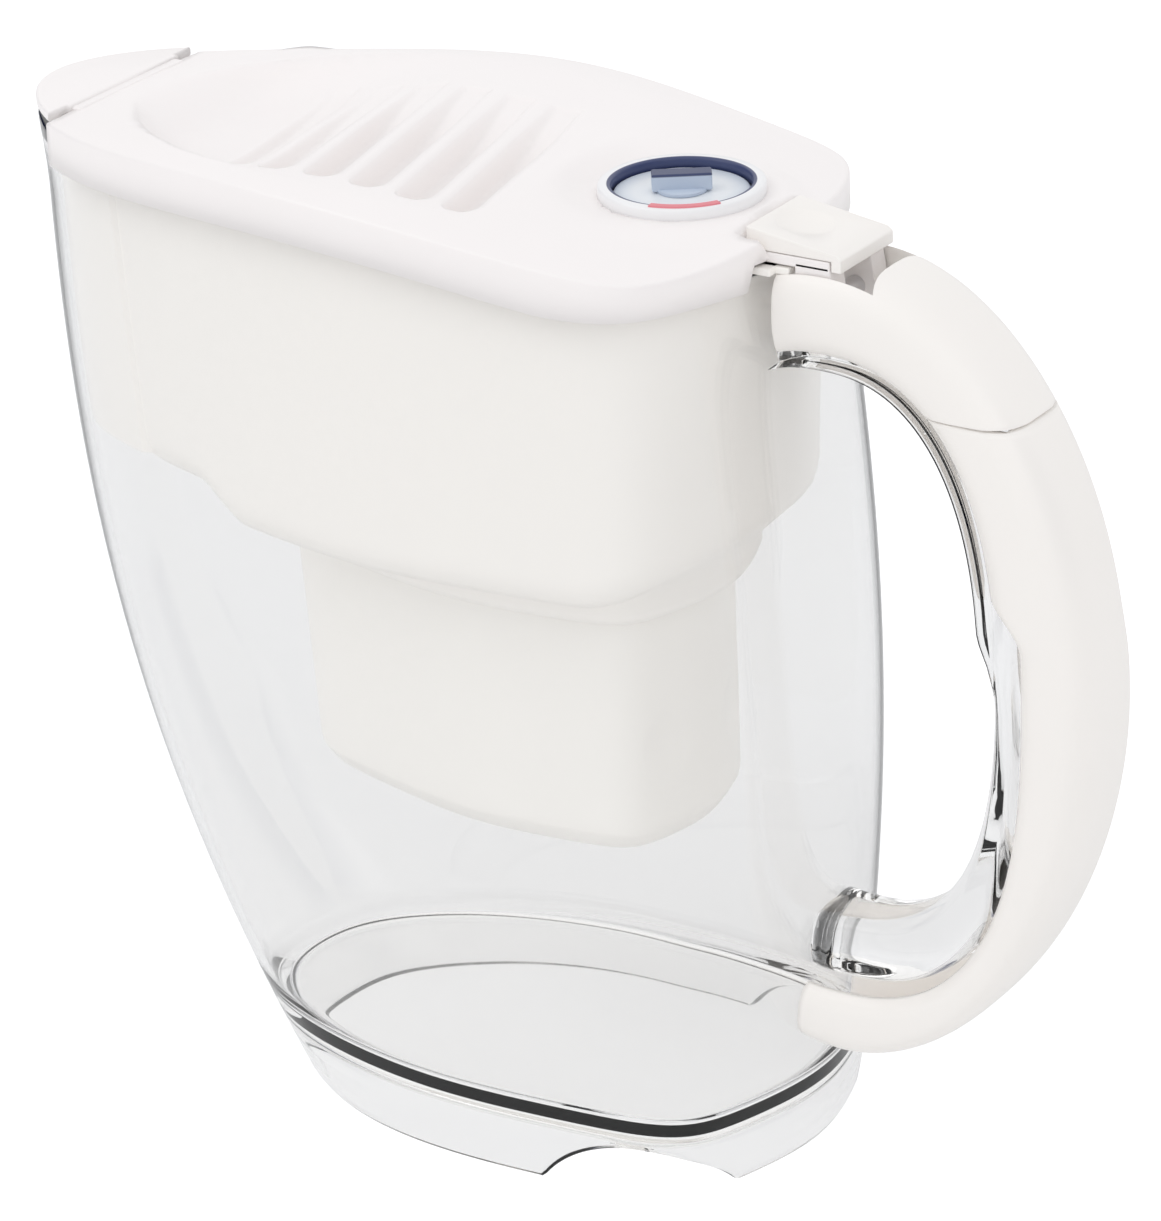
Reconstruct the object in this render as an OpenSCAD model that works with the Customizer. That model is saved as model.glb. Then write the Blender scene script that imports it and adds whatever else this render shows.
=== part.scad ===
// Water filter pitcher: a clear jug with a lift-out hopper, a hinged lid with a
// pouring flap and a month dial, and a filter cartridge that hangs through the hopper.
// Origin: middle of the base footprint's long axis, on the table. Handle toward +X,
// spout toward -X, +Z up, millimetres.

/* [Jug] */
// Height of the lid's lower edge line at the handle end
rim_h = 232.6; // [190:0.2:280]
// Fall of that line toward the handle, per millimetre of length
rim_fall = 0.04; // [0:0.01:0.08]
// Extra rise of that line over the middle of the jug
rim_arch = 8.4; // [0:0.2:12]
// Distance from the origin to the spout side of the lid outline
rim_front = 141; // [120:1:170]
// Distance to the two slanting sides of the spout
rim_nose = 99.7; // [85:0.1:120]
// Distance to the long front flanks
rim_flank = 64; // [55:0.5:80]
// Distance to the sides beside the hopper
rim_side = 59; // [50:0.5:75]
// Distance to the two rear sides beside the handle
rim_rear = 79; // [70:0.5:95]
// The same five distances at the table
base_front = 66; // [55:1:90]
// Slanting front sides at the table
base_nose = 57.7; // [50:0.1:75]
// Front flanks at the table
base_flank = 52.5; // [45:0.5:63]
// Sides at the table
base_side = 53; // [45:0.5:58]
// Rear sides at the table
base_rear = 78; // [68:0.5:90]
// How strongly the front wall bows out above the base
front_belly = 2.6; // [1:0.1:4]
// Outward bow of the rear wall at half height
rear_belly = 9; // [0:0.5:14]
// Wall of the clear jug
jug_wall = 2.6; // [2:0.1:4]
// Height of the water chamber's floor above the table
floor_z = 15; // [10:0.5:25]
// Reach of the pouring lip beyond the jug wall
lip_reach = 5.5; // [2:0.5:9]
// Height of the two arches cut in the base skirt
arch_h = 12.5; // [6:0.5:13.5]
// Width of those arches at the table
arch_w = 47; // [20:1:50]

/* [Lid] */
// Height of the skirt that hangs from the lid
skirt_h = 11.5; // [6:0.5:12]
// How much shorter the skirt is at the rear, where the jug swells toward it
skirt_rear_less = 3; // [2:0.5:5]
// Thickness of the skirt
skirt_t = 1.8; // [1.2:0.1:3]
// Thickness of the lid plate
lid_t = 2.6; // [2:0.1:4]
// Rise of the lid's crown above its edge
crown = 2.5; // [1:0.5:5]
// Rise of the ridge that runs up to the thumb tab
ridge = 4.5; // [2:0.5:6]
// Depth of the leaf-shaped scoop at its front end
scoop_depth = 9; // [4:0.5:11]
// Depth of the flutes' floor below the lid's edge line
flute_depth = 5; // [3:0.5:7]
// Number of flutes across the scoop
flutes = 6; // [3:1:7]
// Width of one flute
flute_w = 8.4; // [5:0.1:9]
// Distance from one flute to the next
flute_pitch = 12.9; // [10:0.1:14]

/* [Flap] */
// Distance of the flap's hinge line in front of the origin
flap_x = 113; // [105:1:120]
// Thickness of the flap
flap_t = 2.4; // [1.6:0.1:4]
// Radius of the flap's hinge pin
flap_pin_r = 1.2; // [0.8:0.1:1.6]

/* [Dial] */
// Distance of the dial's centre in front of the lid's rear sides
dial_back = 31; // [27:1:36]
// Outer radius of the dial's bezel
bezel_r = 19.6; // [15:0.1:21]
// Width of the bezel ring
bezel_w = 3.2; // [2:0.1:4]
// Radius of the dial's axle
axle_r = 2.4; // [1.5:0.1:4]

/* [Handle] */
// Height of the handle's lowest point
handle_foot = 31; // [20:1:60]
// Reach of the handle's outer arc behind the jug
handle_reach = 68; // [55:1:85]
// Reach of the finger gap's arc
gap_reach = 41; // [34:1:50]
// Drop from the lid's lower edge line to the top of the finger gap
gap_drop = 23.6; // [20:0.2:26]
// Height of the finger gap's lowest point above the handle's
gap_foot = 36; // [28:1:44]
// Half width of the white handle
grip_half = 14; // [11:0.5:18]
// Wall of the white handle shells
grip_wall = 2.6; // [2:0.1:3.5]
// Half width of the clear rail inside the handle
rail_half = 10.2; // [7:0.1:10.6]
// Drop from the lid's lower edge line to the seam between the handle's cap and its grip
seam_drop = 31.6; // [26:0.2:42]
// Width of the thumb tab
tab_w = 23.8; // [18:0.1:24.6]
// Radius of the lid's hinge pin
pin_r = 2.5; // [1.5:0.1:3]
// Distance of the lid's hinge pin behind the lid's rear sides
hinge_back = 11.5; // [9:0.5:14]
// Drop from the lid's lower edge line to the hinge pin
hinge_drop = 10.6; // [9.6:0.2:12]

/* [Hopper] */
// Wall of the hopper
hopper_wall = 2; // [1.4:0.1:3]
// Depth of the hopper, from the lid's lower edge line to the shelf at its front
hopper_depth = 81.6; // [70:0.2:90]
// Depth of the well under that shelf, round the cartridge
well_depth = 10; // [7:1:16]
// Length of the pouring channel between hopper and spout
channel = 32; // [28:1:38]
// Rise of the hopper's floor toward the handle
rear_rise = 14; // [4:1:18]
// Rise of the hopper's floor toward the spout
front_rise = 8; // [0:1:12]
// Width of the slot between the hopper's two front fins
slot_w = 24; // [14:1:36]

/* [Cartridge] */
// Place of the cartridge's centre along the jug, behind the origin when positive
cart_x = -4; // [-8:1:2]
// Reach of the oval cartridge from its centre toward the spout
cart_long = 60; // [50:1:62]
// Half width of the oval cartridge
cart_wide = 30; // [25:1:32]
// Taper of the cartridge's front below the hopper
cart_taper = 5; // [0:0.5:8]
// Length of the cartridge below the hopper
cart_below = 62; // [45:1:75]
// Length of the cartridge above the hopper's lowest floor
cart_above = 25; // [18:1:34]
// Wall of the cartridge housing
cart_wall = 2.2; // [1.8:0.1:2.6]

/* [Fits] */
// Gap between parts that lift apart
lift_gap = 0.4; // [0.3:0.05:0.8]
// Gap between shells that stay together
seat_gap = 0.2; // [0.1:0.05:0.4]
// Radial clearance of a running pin
run_gap = 0.06; // [0.02:0.01:0.1]

/* [Hidden] */
$fn = 64;

// Five kinds of straight side make the outline; each entry is its direction and its kind.
SIDES = [[180, 0], [130, 1], [-130, 1], [104, 2], [-104, 2], [84, 3], [-84, 3], [20, 4], [-20, 4]];
corner = 12;
// Directions at which every outline is sampled, closer together round the spout.
TURNS = concat([for (a = [0:6:144]) a], [for (a = [150:4:210]) a], [for (a = [216:6:354]) a]);
rim_sides = [rim_front, rim_nose, rim_flank, rim_side, rim_rear];
base_sides = [base_front, base_nose, base_flank, base_side, base_rear];
cart_sides = [cart_long, 0.82 * cart_long, cart_wide - 0.7, cart_wide + 1.4, 0.91 * cart_long];
// The same outline below the hopper, where the cartridge's front is tapered
cart_foot = [cart_long - cart_taper, 0.82 * cart_long - 0.5 * cart_taper,
             cart_wide - 0.7, cart_wide + 1.4, 0.91 * cart_long];
// The jug wall stands inside the lid's skirt, and the hopper inside the jug wall.
jug_inset = skirt_t + 0.8;
hopper_inset = jug_inset + jug_wall + 0.8;
flange_drop = lid_t + 0.4;
rim_drop = flange_drop + hopper_wall + 0.4;
hinge_x = rim_rear + hinge_back;
handle_x = hinge_x + 1.5;
dial_x = rim_rear - dial_back;
handle_top = rim_h + 0.4;
handle_z = (handle_top + handle_foot) / 2;
handle_rise = (handle_top - handle_foot) / 2;
gap_z = (rim_h - gap_drop + handle_foot + gap_foot) / 2;
gap_rise = (rim_h - gap_drop - handle_foot - gap_foot) / 2;
seam_z = rim_h - seam_drop;
hinge_z = rim_h - hinge_drop;
rail_t = 7;
arch_r = (arch_w * arch_w / 4 + arch_h * arch_h) / (2 * arch_h);
cap_front = rim_rear + 1.4;
cheek_half = grip_half + 1;
cheek_in = tab_w / 2 + 0.6;
pocket_r = 16.5;
dial_floor = rim_h + 5.4;
dial_top = dial_floor + 4.4;
disc_r = bezel_r - bezel_w - 0.4;
seal_t = 1.6;
shelf_z = rim_h - hopper_depth;
well_z = shelf_z - well_depth;
cart_z = well_z - cart_below;
cart_top = well_z + cart_above;
flange_z = well_z + hopper_wall + seal_t + 0.5;
flange_out = 3.2;

function total(v) = v * [for (i = v) 1];
function mix(a, b, t) = a + (b - a) * t;
function ramp(t) = let (s = min(1, max(0, t))) s * s * (3 - 2 * s);
function grow(d, by) = [for (k = d) k + by];
// Distance from the middle to the rounded outline in direction a.
function reach(a, d) =
    pow(total([for (s = SIDES) pow(max(0, cos(a - s[0])) / d[s[1]], corner)]), -1 / corner);
function outline(d, x = 0) = [for (a = TURNS) [x + reach(a, d) * cos(a), reach(a, d) * sin(a)]];
function ring(d, z, x = 0) = [for (p = outline(d, x)) [p[0], p[1], z]];

// Height of the lid's edge line above a place along the jug.
function edge_z(x) = rim_h + rim_fall * (rim_rear - x) + rim_arch * exp(-pow((x + 20) / 70, 2));
flap_top = edge_z(-flap_x) + 1.5;

// Sides of the jug wall at the share u of its height.
function jug_sides(u) = let (e = 1 - pow(1 - u, front_belly)) [
    mix(base_sides[0], rim_sides[0] - jug_inset, e),
    mix(base_sides[1], rim_sides[1] - jug_inset, e),
    mix(base_sides[2], rim_sides[2] - jug_inset, u),
    mix(base_sides[3], rim_sides[3] - jug_inset, u),
    mix(base_sides[4], rim_sides[4] - jug_inset, u) + rear_belly * sin(180 * u)];
function lip(a, u) = lip_reach * exp(-pow((a - 180) / 6, 2)) * ramp((u - 0.93) / 0.07);
function jug_ring(u, inset = 0, drop = rim_drop) = let (d = grow(jug_sides(u), -inset)) [
    for (a = TURNS)
        let (r = reach(a, d) + lip(a, u), top = edge_z(reach(a, rim_sides) * cos(a)) - drop)
        [r * cos(a), r * sin(a), u * top]];

// Lid surface: edge line, crown, ridge toward the thumb tab, and the scoop.
scoop_tip = rim_front - 37;
scoop_w = rim_side - 11;
function scoop_half(x) = x > -15
    ? scoop_w - 3 * ramp((x + 15) / 35)
    : scoop_w * pow(max(0, 1 - pow((-15 - x) / (scoop_tip - 15), 2.2)), 0.6);
function scoop_side(x, y) = let (h = scoop_half(x)) h < 1 ? 1 : min(1, max(-1, y / h));
function scoop_along(x) =
    ramp((x + scoop_tip) / 22) * (0.25 + 0.75 * (1 - ramp((x + 75) / 45))) * (1 - ramp((x - 5) / 18));
function scoop(x, y) = let (v = scoop_side(x, y))
    scoop_depth * scoop_along(x) * (v < 0 ? 1 - pow(v, 6) : 1 - pow(v, 4));
function lid_rise(x, y, s) = crown * (1 - pow(s, 4)) * (1 - 0.6 * ramp((-x - 70) / 50))
    + ridge * exp(-pow(y / 22, 2)) * ramp((x - 20) / 40) * pow(s, 4);
// The lid levels out round the dial.
function dial_pad(x, y) = 1 - ramp((norm([x - dial_x, y]) - bezel_r - 2) / 9);
function lid_top(x, y, s) =
    mix(edge_z(x) + lid_rise(x, y, s) - scoop(x, y), dial_floor + 1.6, dial_pad(x, y));
function flute_zone(x, y) =
    ramp((x + 72) / 10) * (1 - ramp((x - 16) / 8)) * (1 - pow(scoop_side(x, y), 8));
function flute_floor(x) = edge_z(x) - flute_depth;
function lid_under(x, y, s) =
    mix(lid_top(x, y, s) - lid_t, flute_floor(x) - 2.2, flute_zone(x, y));
function lid_ring(s, inset, under) = [
    for (a = TURNS)
        let (r = s * reach(a, grow(rim_sides, -inset)), x = r * cos(a), y = r * sin(a))
        [x, y, under ? lid_under(x, y, s) : lid_top(x, y, s)]];
function skirt_ring(inset, drop, less = 0) = [
    for (a = TURNS)
        let (r = reach(a, grow(rim_sides, -inset)), x = reach(a, rim_sides) * cos(a))
        [r * cos(a), r * sin(a), edge_z(x) - drop + less * ramp((x - 40) / 35)]];

// Handle arcs: a point at the angle t on the outer arc, the parting arc and the gap's arc.
function arc_point(x, z, a, b, n, t) =
    [x + a * sign(cos(t)) * pow(abs(cos(t)), 2 / n), z + b * sign(sin(t)) * pow(abs(sin(t)), 2 / n)];
function outer_arc(t, less = 0) =
    arc_point(handle_x, handle_z, handle_reach - less, handle_rise - less, t < 0 ? 1.85 : 2, t);
function gap_arc(t, more = 0) =
    arc_point(handle_x, gap_z, gap_reach + more, gap_rise + more, 2.4, t);
function rail_arc(t, more = 0) = gap_arc(t, rail_t + more + 10 * ramp(-t / 90));
// The white grip reaches in to the finger gap above, and only to the rail's back below.
function grip_in(t) = let (k = ramp((t - 4) / 10)) rail_arc(t, seat_gap) * (1 - k) + gap_arc(t, 0) * k;
// A rounded section across the handle, between the arcs' points a and b, half width w.
// The smaller the power, the squarer the section.
function handle_ring(a, b, w, n = 24, power = 0.62) = [
    for (i = [0:n - 1])
        let (t = i * 360 / n,
             c = sign(cos(t)) * pow(abs(cos(t)), power),
             s = sign(sin(t)) * pow(abs(sin(t)), power),
             m = (a + b) / 2 + (b - a) / 2 * c)
        [m[0], -w * s, m[1]]];

// Closed skin over a stack of rings, with a flat cap at each end.
module loft(rings) {
    n = len(rings[0]);
    last = (len(rings) - 1) * n;
    polyhedron(
        points = [for (r = rings) for (p = r) p],
        faces = concat(
            [[for (i = [0:n - 1]) i]],
            [for (j = [0:len(rings) - 2]) for (i = [0:n - 1])
                [j * n + i, (j + 1) * n + i, (j + 1) * n + (i + 1) % n, j * n + (i + 1) % n]],
            [[for (i = [n - 1:-1:0]) last + i]]));
}

// Closed skin over rings whose last one meets the first, leaving a hole through the middle.
module loft_loop(rings) {
    n = len(rings[0]);
    m = len(rings);
    polyhedron(
        points = [for (r = rings) for (p = r) p],
        faces = [for (j = [0:m - 1]) for (i = [0:n - 1])
            [j * n + i, ((j + 1) % m) * n + i, ((j + 1) % m) * n + (i + 1) % n, j * n + (i + 1) % n]]);
}

module across(half, y = 0) {
    translate([0, y + half, 0])
        rotate([90, 0, 0])
            linear_extrude(2 * half)
                children();
}

module jug_outside(more = 0) {
    loft([for (u = [0:0.1:1]) jug_ring(u, -more)]);
}

// Clear jug from its raised floor to the rim.
module jug_body() {
    wall_steps = [0, 0.03, 0.08, 0.16, 0.26, 0.38, 0.5, 0.62, 0.74, 0.84, 0.92, 0.95, 0.98, 1];
    floor_u = (floor_z + jug_wall) / rim_h;
    inner_steps = [for (u = wall_steps) if (u > floor_u + 0.05) u];
    color([0.86, 0.91, 0.96, 0.45])
    difference() {
        loft(concat(
            [for (u = wall_steps) jug_ring(u)],
            [for (i = [len(inner_steps) - 1:-1:0]) jug_ring(inner_steps[i], jug_wall)],
            [jug_ring(floor_u + 0.02, jug_wall + 0.6)],
            [ring(grow(jug_sides(floor_u), -jug_wall - 3), floor_z + jug_wall)]));
        translate([-200, -100, -10])
            cube([400, 200, 10 + floor_z]);
    }
}

// Skirt under the jug's floor, which stands on the table, with an arch at each rear corner.
module jug_skirt() {
    color([0.86, 0.91, 0.96, 0.45])
    difference() {
        loft([for (u = [0, 0.03, 0.08]) jug_ring(u)]);
        loft(concat(
            [ring(grow(jug_sides(0), -jug_wall), -1)],
            [for (u = [0, 0.5, 1.1]) ring(grow(jug_sides(u * floor_z / rim_h), -jug_wall), u * floor_z)]));
        for (s = [-1, 1])
            translate([base_rear - 26.5, s * (base_side - 13.5), arch_h - arch_r])
                rotate([90, 0, -s * 29])
                    cylinder(r = arch_r, h = 34, center = true);
        translate([-200, -100, -10])
            cube([400, 200, 10]);
        translate([-200, -100, floor_z])
            cube([400, 200, 100]);
    }
}

// Clear rail of the handle, moulded with the jug.
module handle_rail() {
    color([0.74, 0.85, 0.95, 0.6])
    difference() {
        loft([for (t = [108:-9:-108])
            handle_ring(gap_arc(t), rail_arc(t), rail_half, 16)]);
        jug_outside(0.1);
    }
}

// White grip over the rail's back, open toward the rail.
module grip_shell() {
    color([0.97, 0.95, 0.92])
    difference() {
        loft([for (t = [54:-6:-108])
            handle_ring(grip_in(t), outer_arc(t), grip_half)]);
        loft([for (t = [60:-6:-112])
            handle_ring(gap_arc(t, -4), outer_arc(t, grip_wall), rail_half + 0.6, 16, 0.35)]);
        translate([60, -30, seam_z - lift_gap / 2])
            cube([120, 60, 60]);
        jug_outside(0.3);
    }
}

// Sides of the hopper's walls at the share u of the jug's height; the rear wall tapers
// so that the hopper lifts straight out past the jug's narrower mouth.
function hopper_sides(u) = let (d = grow(jug_sides(u), -jug_wall - 0.8))
    [min(d[0], rim_front - channel - 5), d[1], d[2], d[3], rim_rear - hopper_inset - 5 * (1 - u)];
shelf_u = shelf_z / rim_h;
function hopper_low(x) =
    shelf_z + rear_rise * ramp((x - 45) / 35) + front_rise * ramp((-52 - x) / 18);
// Ring of the hopper's wall at the share v of the way from its floor to its flange.
function hopper_ring(v, inset) = let (d = grow(hopper_sides(mix(shelf_u, 1, v)), -inset)) [
    for (a = TURNS)
        let (r = reach(a, d), top = edge_z(reach(a, rim_sides) * cos(a)) - flange_drop)
        [r * cos(a), r * sin(a), mix(hopper_low(r * cos(a)) + 6, top, v)]];
// Ring of the hopper's sloping floor, inset from the wall by different amounts at the rear.
function tray_ring(inset, rear_inset, rise) =
    let (d = hopper_sides(shelf_u),
         e = concat(grow([d[0], d[1], d[2], d[3]], -inset), [d[4] - rear_inset]))
    [for (p = outline(e)) [p[0], p[1], hopper_low(p[0]) + rise]];
function flange_ring(drop) = [
    for (a = TURNS)
        let (d = grow(rim_sides, -jug_inset - 0.2),
             f = [min(d[0], rim_front - channel - 4), d[1], d[2], d[3], d[4]],
             r = reach(a, f))
        [r * cos(a), r * sin(a), edge_z(reach(a, rim_sides) * cos(a)) - flange_drop - drop]];

// Ring of the fins at the share v of their height; they follow the jug's wall.
fin_low = shelf_z + front_rise + 3;
fin_top = edge_z(-rim_front) - rim_drop - 2.4;
function fin_ring(v, inset) = let (z = mix(fin_low, fin_top, v))
    ring(grow(jug_sides(min(1, z / fin_top)), -jug_wall - 0.8 - inset), z);

// Funnel that hangs in the jug by its flange, with a well for the cartridge.
module hopper() {
    hole = grow(cart_sides, lift_gap);
    well_in = grow(cart_sides, flange_out + 1);
    well_out = grow(well_in, hopper_wall);
    steps = [0, 0.25, 0.5, 0.75];
    rear = edge_z(rim_rear) - flange_drop - hopper_wall + 0.3;
    color([0.96, 0.94, 0.88, 0.75])
    union() {
        loft_loop(concat(
            [ring(hole, well_z, cart_x), ring(grow(well_out, -2), well_z, cart_x)],
            [ring(well_out, well_z + 3, cart_x), ring(well_out, shelf_z - 1, cart_x)],
            [tray_ring(7, 2.5, 0), tray_ring(1.6, 1, 2.5)],
            [for (v = steps) hopper_ring(v, 0)],
            [hopper_ring(0.985, 0), flange_ring(hopper_wall), flange_ring(0)],
            [hopper_ring(1, hopper_wall), hopper_ring(0.75, hopper_wall)],
            [hopper_ring(0.5, hopper_wall), hopper_ring(0.25, hopper_wall)],
            [hopper_ring(0.02, hopper_wall), tray_ring(3.6, 3, 4), tray_ring(7.6, 4, hopper_wall)],
            [ring(grow(well_in, 0.4), shelf_z + hopper_wall - 1.4, cart_x)],
            [ring(well_in, well_z + 4, cart_x), ring(grow(well_in, -0.4), well_z + hopper_wall, cart_x)],
            [ring(hole, well_z + hopper_wall, cart_x)]));
        // Bridge over the jug's rim, with a tongue between the cheeks of the handle's cap
        translate([rim_rear - 13, -cheek_half, rear])
            cube([cap_front - 0.1 - rim_rear + 13, 2 * cheek_half, hopper_wall - 0.2]);
        translate([rim_rear - 13, 0.1 - cheek_in, rear])
            cube([cap_front + 3.4 - rim_rear + 13, 2 * cheek_in - 0.2, hopper_wall - 0.2]);
    }
}

// Two fins that carry the hopper's sides on toward the spout; water rises between them.
module hopper_fins() {
    color([0.96, 0.94, 0.88, 0.75])
    difference() {
        loft([for (v = [0, 0.5, 1]) fin_ring(v, 0.1)]);
        loft([for (v = [-0.1, 0.5, 1.1]) fin_ring(v, hopper_wall)]);
        loft(concat(
            [tray_ring(7, 2.5, 0), tray_ring(1.6, 1, 2.5)],
            [for (v = [0, 0.25, 0.5, 0.75, 0.985]) hopper_ring(v, 0)]));
        translate([channel - rim_front + 19, -100, 0])
            cube([300, 200, 300]);
        translate([-200, -slot_w / 2, 0])
            cube([400, slot_w, 300]);
    }
}

// Upper part of the handle, which lifts out with the hopper and carries the lid's hinge.
module handle_cap() {
    color([0.97, 0.95, 0.92])
    difference() {
        loft([for (t = [112:-6:24])
            handle_ring(gap_arc(t), outer_arc(t), mix(grip_half, cheek_half, ramp((t - 40) / 40)))]);
        // Hollow over the rail, stopped short of the pocket
        difference() {
            loft([for (t = [118:-6:18])
                handle_ring(gap_arc(t, -6), outer_arc(t, grip_wall), rail_half + 0.6, 16, 0.35)]);
            translate([hinge_x, 0, hinge_z])
                rotate([90, 0, 0])
                    cylinder(r = pocket_r + 2, h = 60, center = true);
        }
        // Channel for the rail under the pocket
        loft([for (t = [118:-6:18])
            handle_ring(gap_arc(t, -6), rail_arc(t, lift_gap), rail_half + 0.6, 16, 0.35)]);
        // Pocket that the thumb tab swings into
        translate([hinge_x, 0, hinge_z])
            rotate([90, 0, 0])
                cylinder(r = pocket_r, h = 2 * cheek_in, center = true);
        // Mouth of the pocket toward the hopper's tongue
        translate([cap_front - 10, -cheek_in, hinge_z - pocket_r])
            cube([13, 2 * cheek_in, pocket_r]);
        // Open top over the cheeks
        translate([0, -30, hinge_z + 9])
            cube([handle_x + 10, 60, 60]);
        // Front face along the jug wall, underside along the seam
        translate([cap_front - 60, -30, 0])
            cube([60, 60, 300]);
        translate([0, -30, 0])
            cube([300, 60, seam_z + lift_gap / 2]);
        // Bores for the hinge pin
        translate([hinge_x, 0, hinge_z])
            rotate([90, 0, 0])
                cylinder(r = pin_r, h = 60, center = true);
    }
}

module hinge_pin() {
    color([0.8, 0.8, 0.8])
    translate([hinge_x, 0, hinge_z])
        rotate([90, 0, 0])
            cylinder(r = pin_r, h = 2 * cheek_half - 1, center = true);
}

// Lid with its skirt, scoop, flutes, dial well and hinge arms.
module lid_shell() {
    steps = [0.04, 0.14, 0.24, 0.34, 0.44, 0.54, 0.63, 0.71, 0.78, 0.84, 0.89, 0.94, 0.98];
    color([0.98, 0.95, 0.94])
    difference() {
        union() {
            difference() {
                loft(concat(
                    [for (s = steps) lid_ring(s, skirt_t, true)],
                    [skirt_ring(skirt_t, lid_t), skirt_ring(0, lid_t)],
                    [skirt_ring(0, 0.8), skirt_ring(0.9, 0)],
                    [for (i = [len(steps) - 1:-1:0]) lid_ring(steps[i], 0.9, false)]));
                lid_cuts();
                for (i = [0:flutes - 1])
                    flute(i);
            }
            // Cup that holds the dial
            translate([dial_x, 0, dial_floor - 2.4])
                cylinder(r = bezel_r + 2.2, h = 3.4);
            // Ledge under the thumb tab and its web
            translate([handle_x - 24, -tab_w / 2, hinge_z + 9.3])
                cube([26.2, tab_w, 2.5]);
            translate([handle_x - 24, -tab_w / 2, hinge_z + 9.3])
                cube([3.6, tab_w, 6.2]);
            // Hinge arms
            for (s = [-1, 1])
                translate([0, s * (tab_w / 2 - 3), 0])
                    hinge_arm(3);
            // Ears for the flap's pin
            for (s = [-1, 1])
                translate([-flap_x + 0.6, s * 24.2 - 1.6, flap_top - 6.4])
                    cube([5, 3.2, 5]);
        }
        // Well and axle hole of the dial
        translate([dial_x, 0, dial_floor])
            cylinder(r = bezel_r + seat_gap / 2, h = 20);
        translate([dial_x, 0, dial_floor - 10])
            cylinder(r = axle_r + run_gap, h = 20);
        // Running bores of the lid's hinge
        translate([hinge_x, 0, hinge_z])
            rotate([90, 0, 0])
                cylinder(r = pin_r + run_gap, h = 60, center = true);
        flap_axis()
            cylinder(r = flap_pin_r, h = 70, center = true);
    }
}

// Skirt that hangs from the lid's edge over the jug's rim.
module lid_skirt() {
    color([0.98, 0.95, 0.94])
    difference() {
        loft_loop([skirt_ring(skirt_t, skirt_h, skirt_rear_less),
                   skirt_ring(0.2, skirt_h, skirt_rear_less),
                   skirt_ring(0, lid_t), skirt_ring(skirt_t, lid_t)]);
        lid_cuts();
    }
}

// What is cut from the lid and its skirt at the handle and at the spout.
module lid_cuts() {
    // Room for the hopper's bridge and the handle's cheeks
    translate([rim_rear - 17, -cheek_half - 1.5, 0])
        cube([60, 2 * cheek_half + 3, edge_z(rim_rear) - flange_drop + 0.5]);
    // Room for the thumb tab
    translate([handle_x - 20, -tab_w / 2 - 0.5, 0])
        cube([60, tab_w + 1, 300]);
    // Open nose under the flap, and room for its knuckle
    translate([-flap_x - 100 + 0.6, -100, 0])
        cube([100, 200, 400]);
    translate([-flap_x, -22, 0])
        cube([6.1, 44, 400]);
}

// One flute: a slot with a round near end and a square far end.
module flute(i) {
    x = -52 + i * flute_pitch;
    translate([x, -38, flute_floor(x)])
        rotate([0, 0, 102])
            linear_extrude(30) {
                circle(d = flute_w);
                translate([0, -flute_w / 2])
                    square([68, flute_w]);
            }
}

module hinge_arm(half) {
    across(half)
        translate([hinge_x, hinge_z])
            union() {
                circle(r = 5.4);
                polygon([[-5.4, 0], [5.4, 0], [3.6, 10.5], [-5.4, 10.5]]);
            }
}

module flap_axis() {
    translate([-flap_x + 2.8, 0, flap_top - 3.6])
        rotate([90, 0, 0])
            children();
}

// Thumb tab: clips over the lid's ledge, with a round dimple for the thumb.
module thumb_tab() {
    x0 = handle_x - 19.6;
    z0 = hinge_z + 12;
    color([0.97, 0.95, 0.92])
    difference() {
        across(tab_w / 2)
            polygon([[x0, z0], [x0, z0 + 5.2], [x0 + 23.4, z0 + 1.6], [x0 + 24.8, z0 + 0.6],
                     [x0 + 24.8, z0 - 2.5], [x0 + 22.2, z0 - 2.5], [x0 + 22.2, z0]]);
        translate([x0 + 10.5, 0, z0 + 3.6 + 19.1])
            sphere(r = 20);
    }
}

// Steel rod that the flap turns on.
module flap_pin() {
    color([0.8, 0.8, 0.8])
    flap_axis()
        cylinder(r = flap_pin_r, h = 51, center = true);
}

// Flap over the spout, hinged along its rear edge.
module spout_flap() {
    nose = grow(rim_sides, -1.2);
    color([0.98, 0.96, 0.95])
    difference() {
        union() {
            translate([0, 0, flap_top - flap_t])
                linear_extrude(flap_t)
                    intersection() {
                        polygon(outline(nose));
                        union() {
                            translate([-flap_x - 60, -22])
                                square([60, 44]);
                            translate([-flap_x - 61.2, -50])
                                square([60, 100]);
                        }
                    }
            flap_axis()
                cylinder(r = flap_pin_r + 1.4, h = 42, center = true);
            translate([-flap_x - 4, -21, flap_top - 4.6])
                cube([6.6, 42, 4.6 - 0.6]);
        }
        flap_axis()
            cylinder(r = flap_pin_r + run_gap, h = 70, center = true);
    }
}

module dial_bezel() {
    color([0.30, 0.38, 0.52])
    translate([dial_x, 0, dial_floor])
        difference() {
            rotate_extrude()
                polygon([[bezel_r - bezel_w, 0], [bezel_r, 0], [bezel_r, 3.6], [bezel_r - 0.8, 4.4],
                         [bezel_r - bezel_w + 0.8, 4.4], [bezel_r - bezel_w, 3.6]]);
            translate([0, 0, 3.4])
                mark_ring(0.1);
        }
}

// Sector of a ring on the side of the bezel that faces the user's left hand.
module mark_ring(more) {
    rotate([0, 0, -82])
        rotate_extrude(angle = 52)
            translate([bezel_r - bezel_w + 0.7 - more, 0])
                square([bezel_w - 1.4 + 2 * more, 1.3 + 2 * more]);
}

module dial_mark() {
    color([0.85, 0.35, 0.38])
    translate([dial_x, 0, dial_floor + 3.5])
        mark_ring(0);
}

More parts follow.
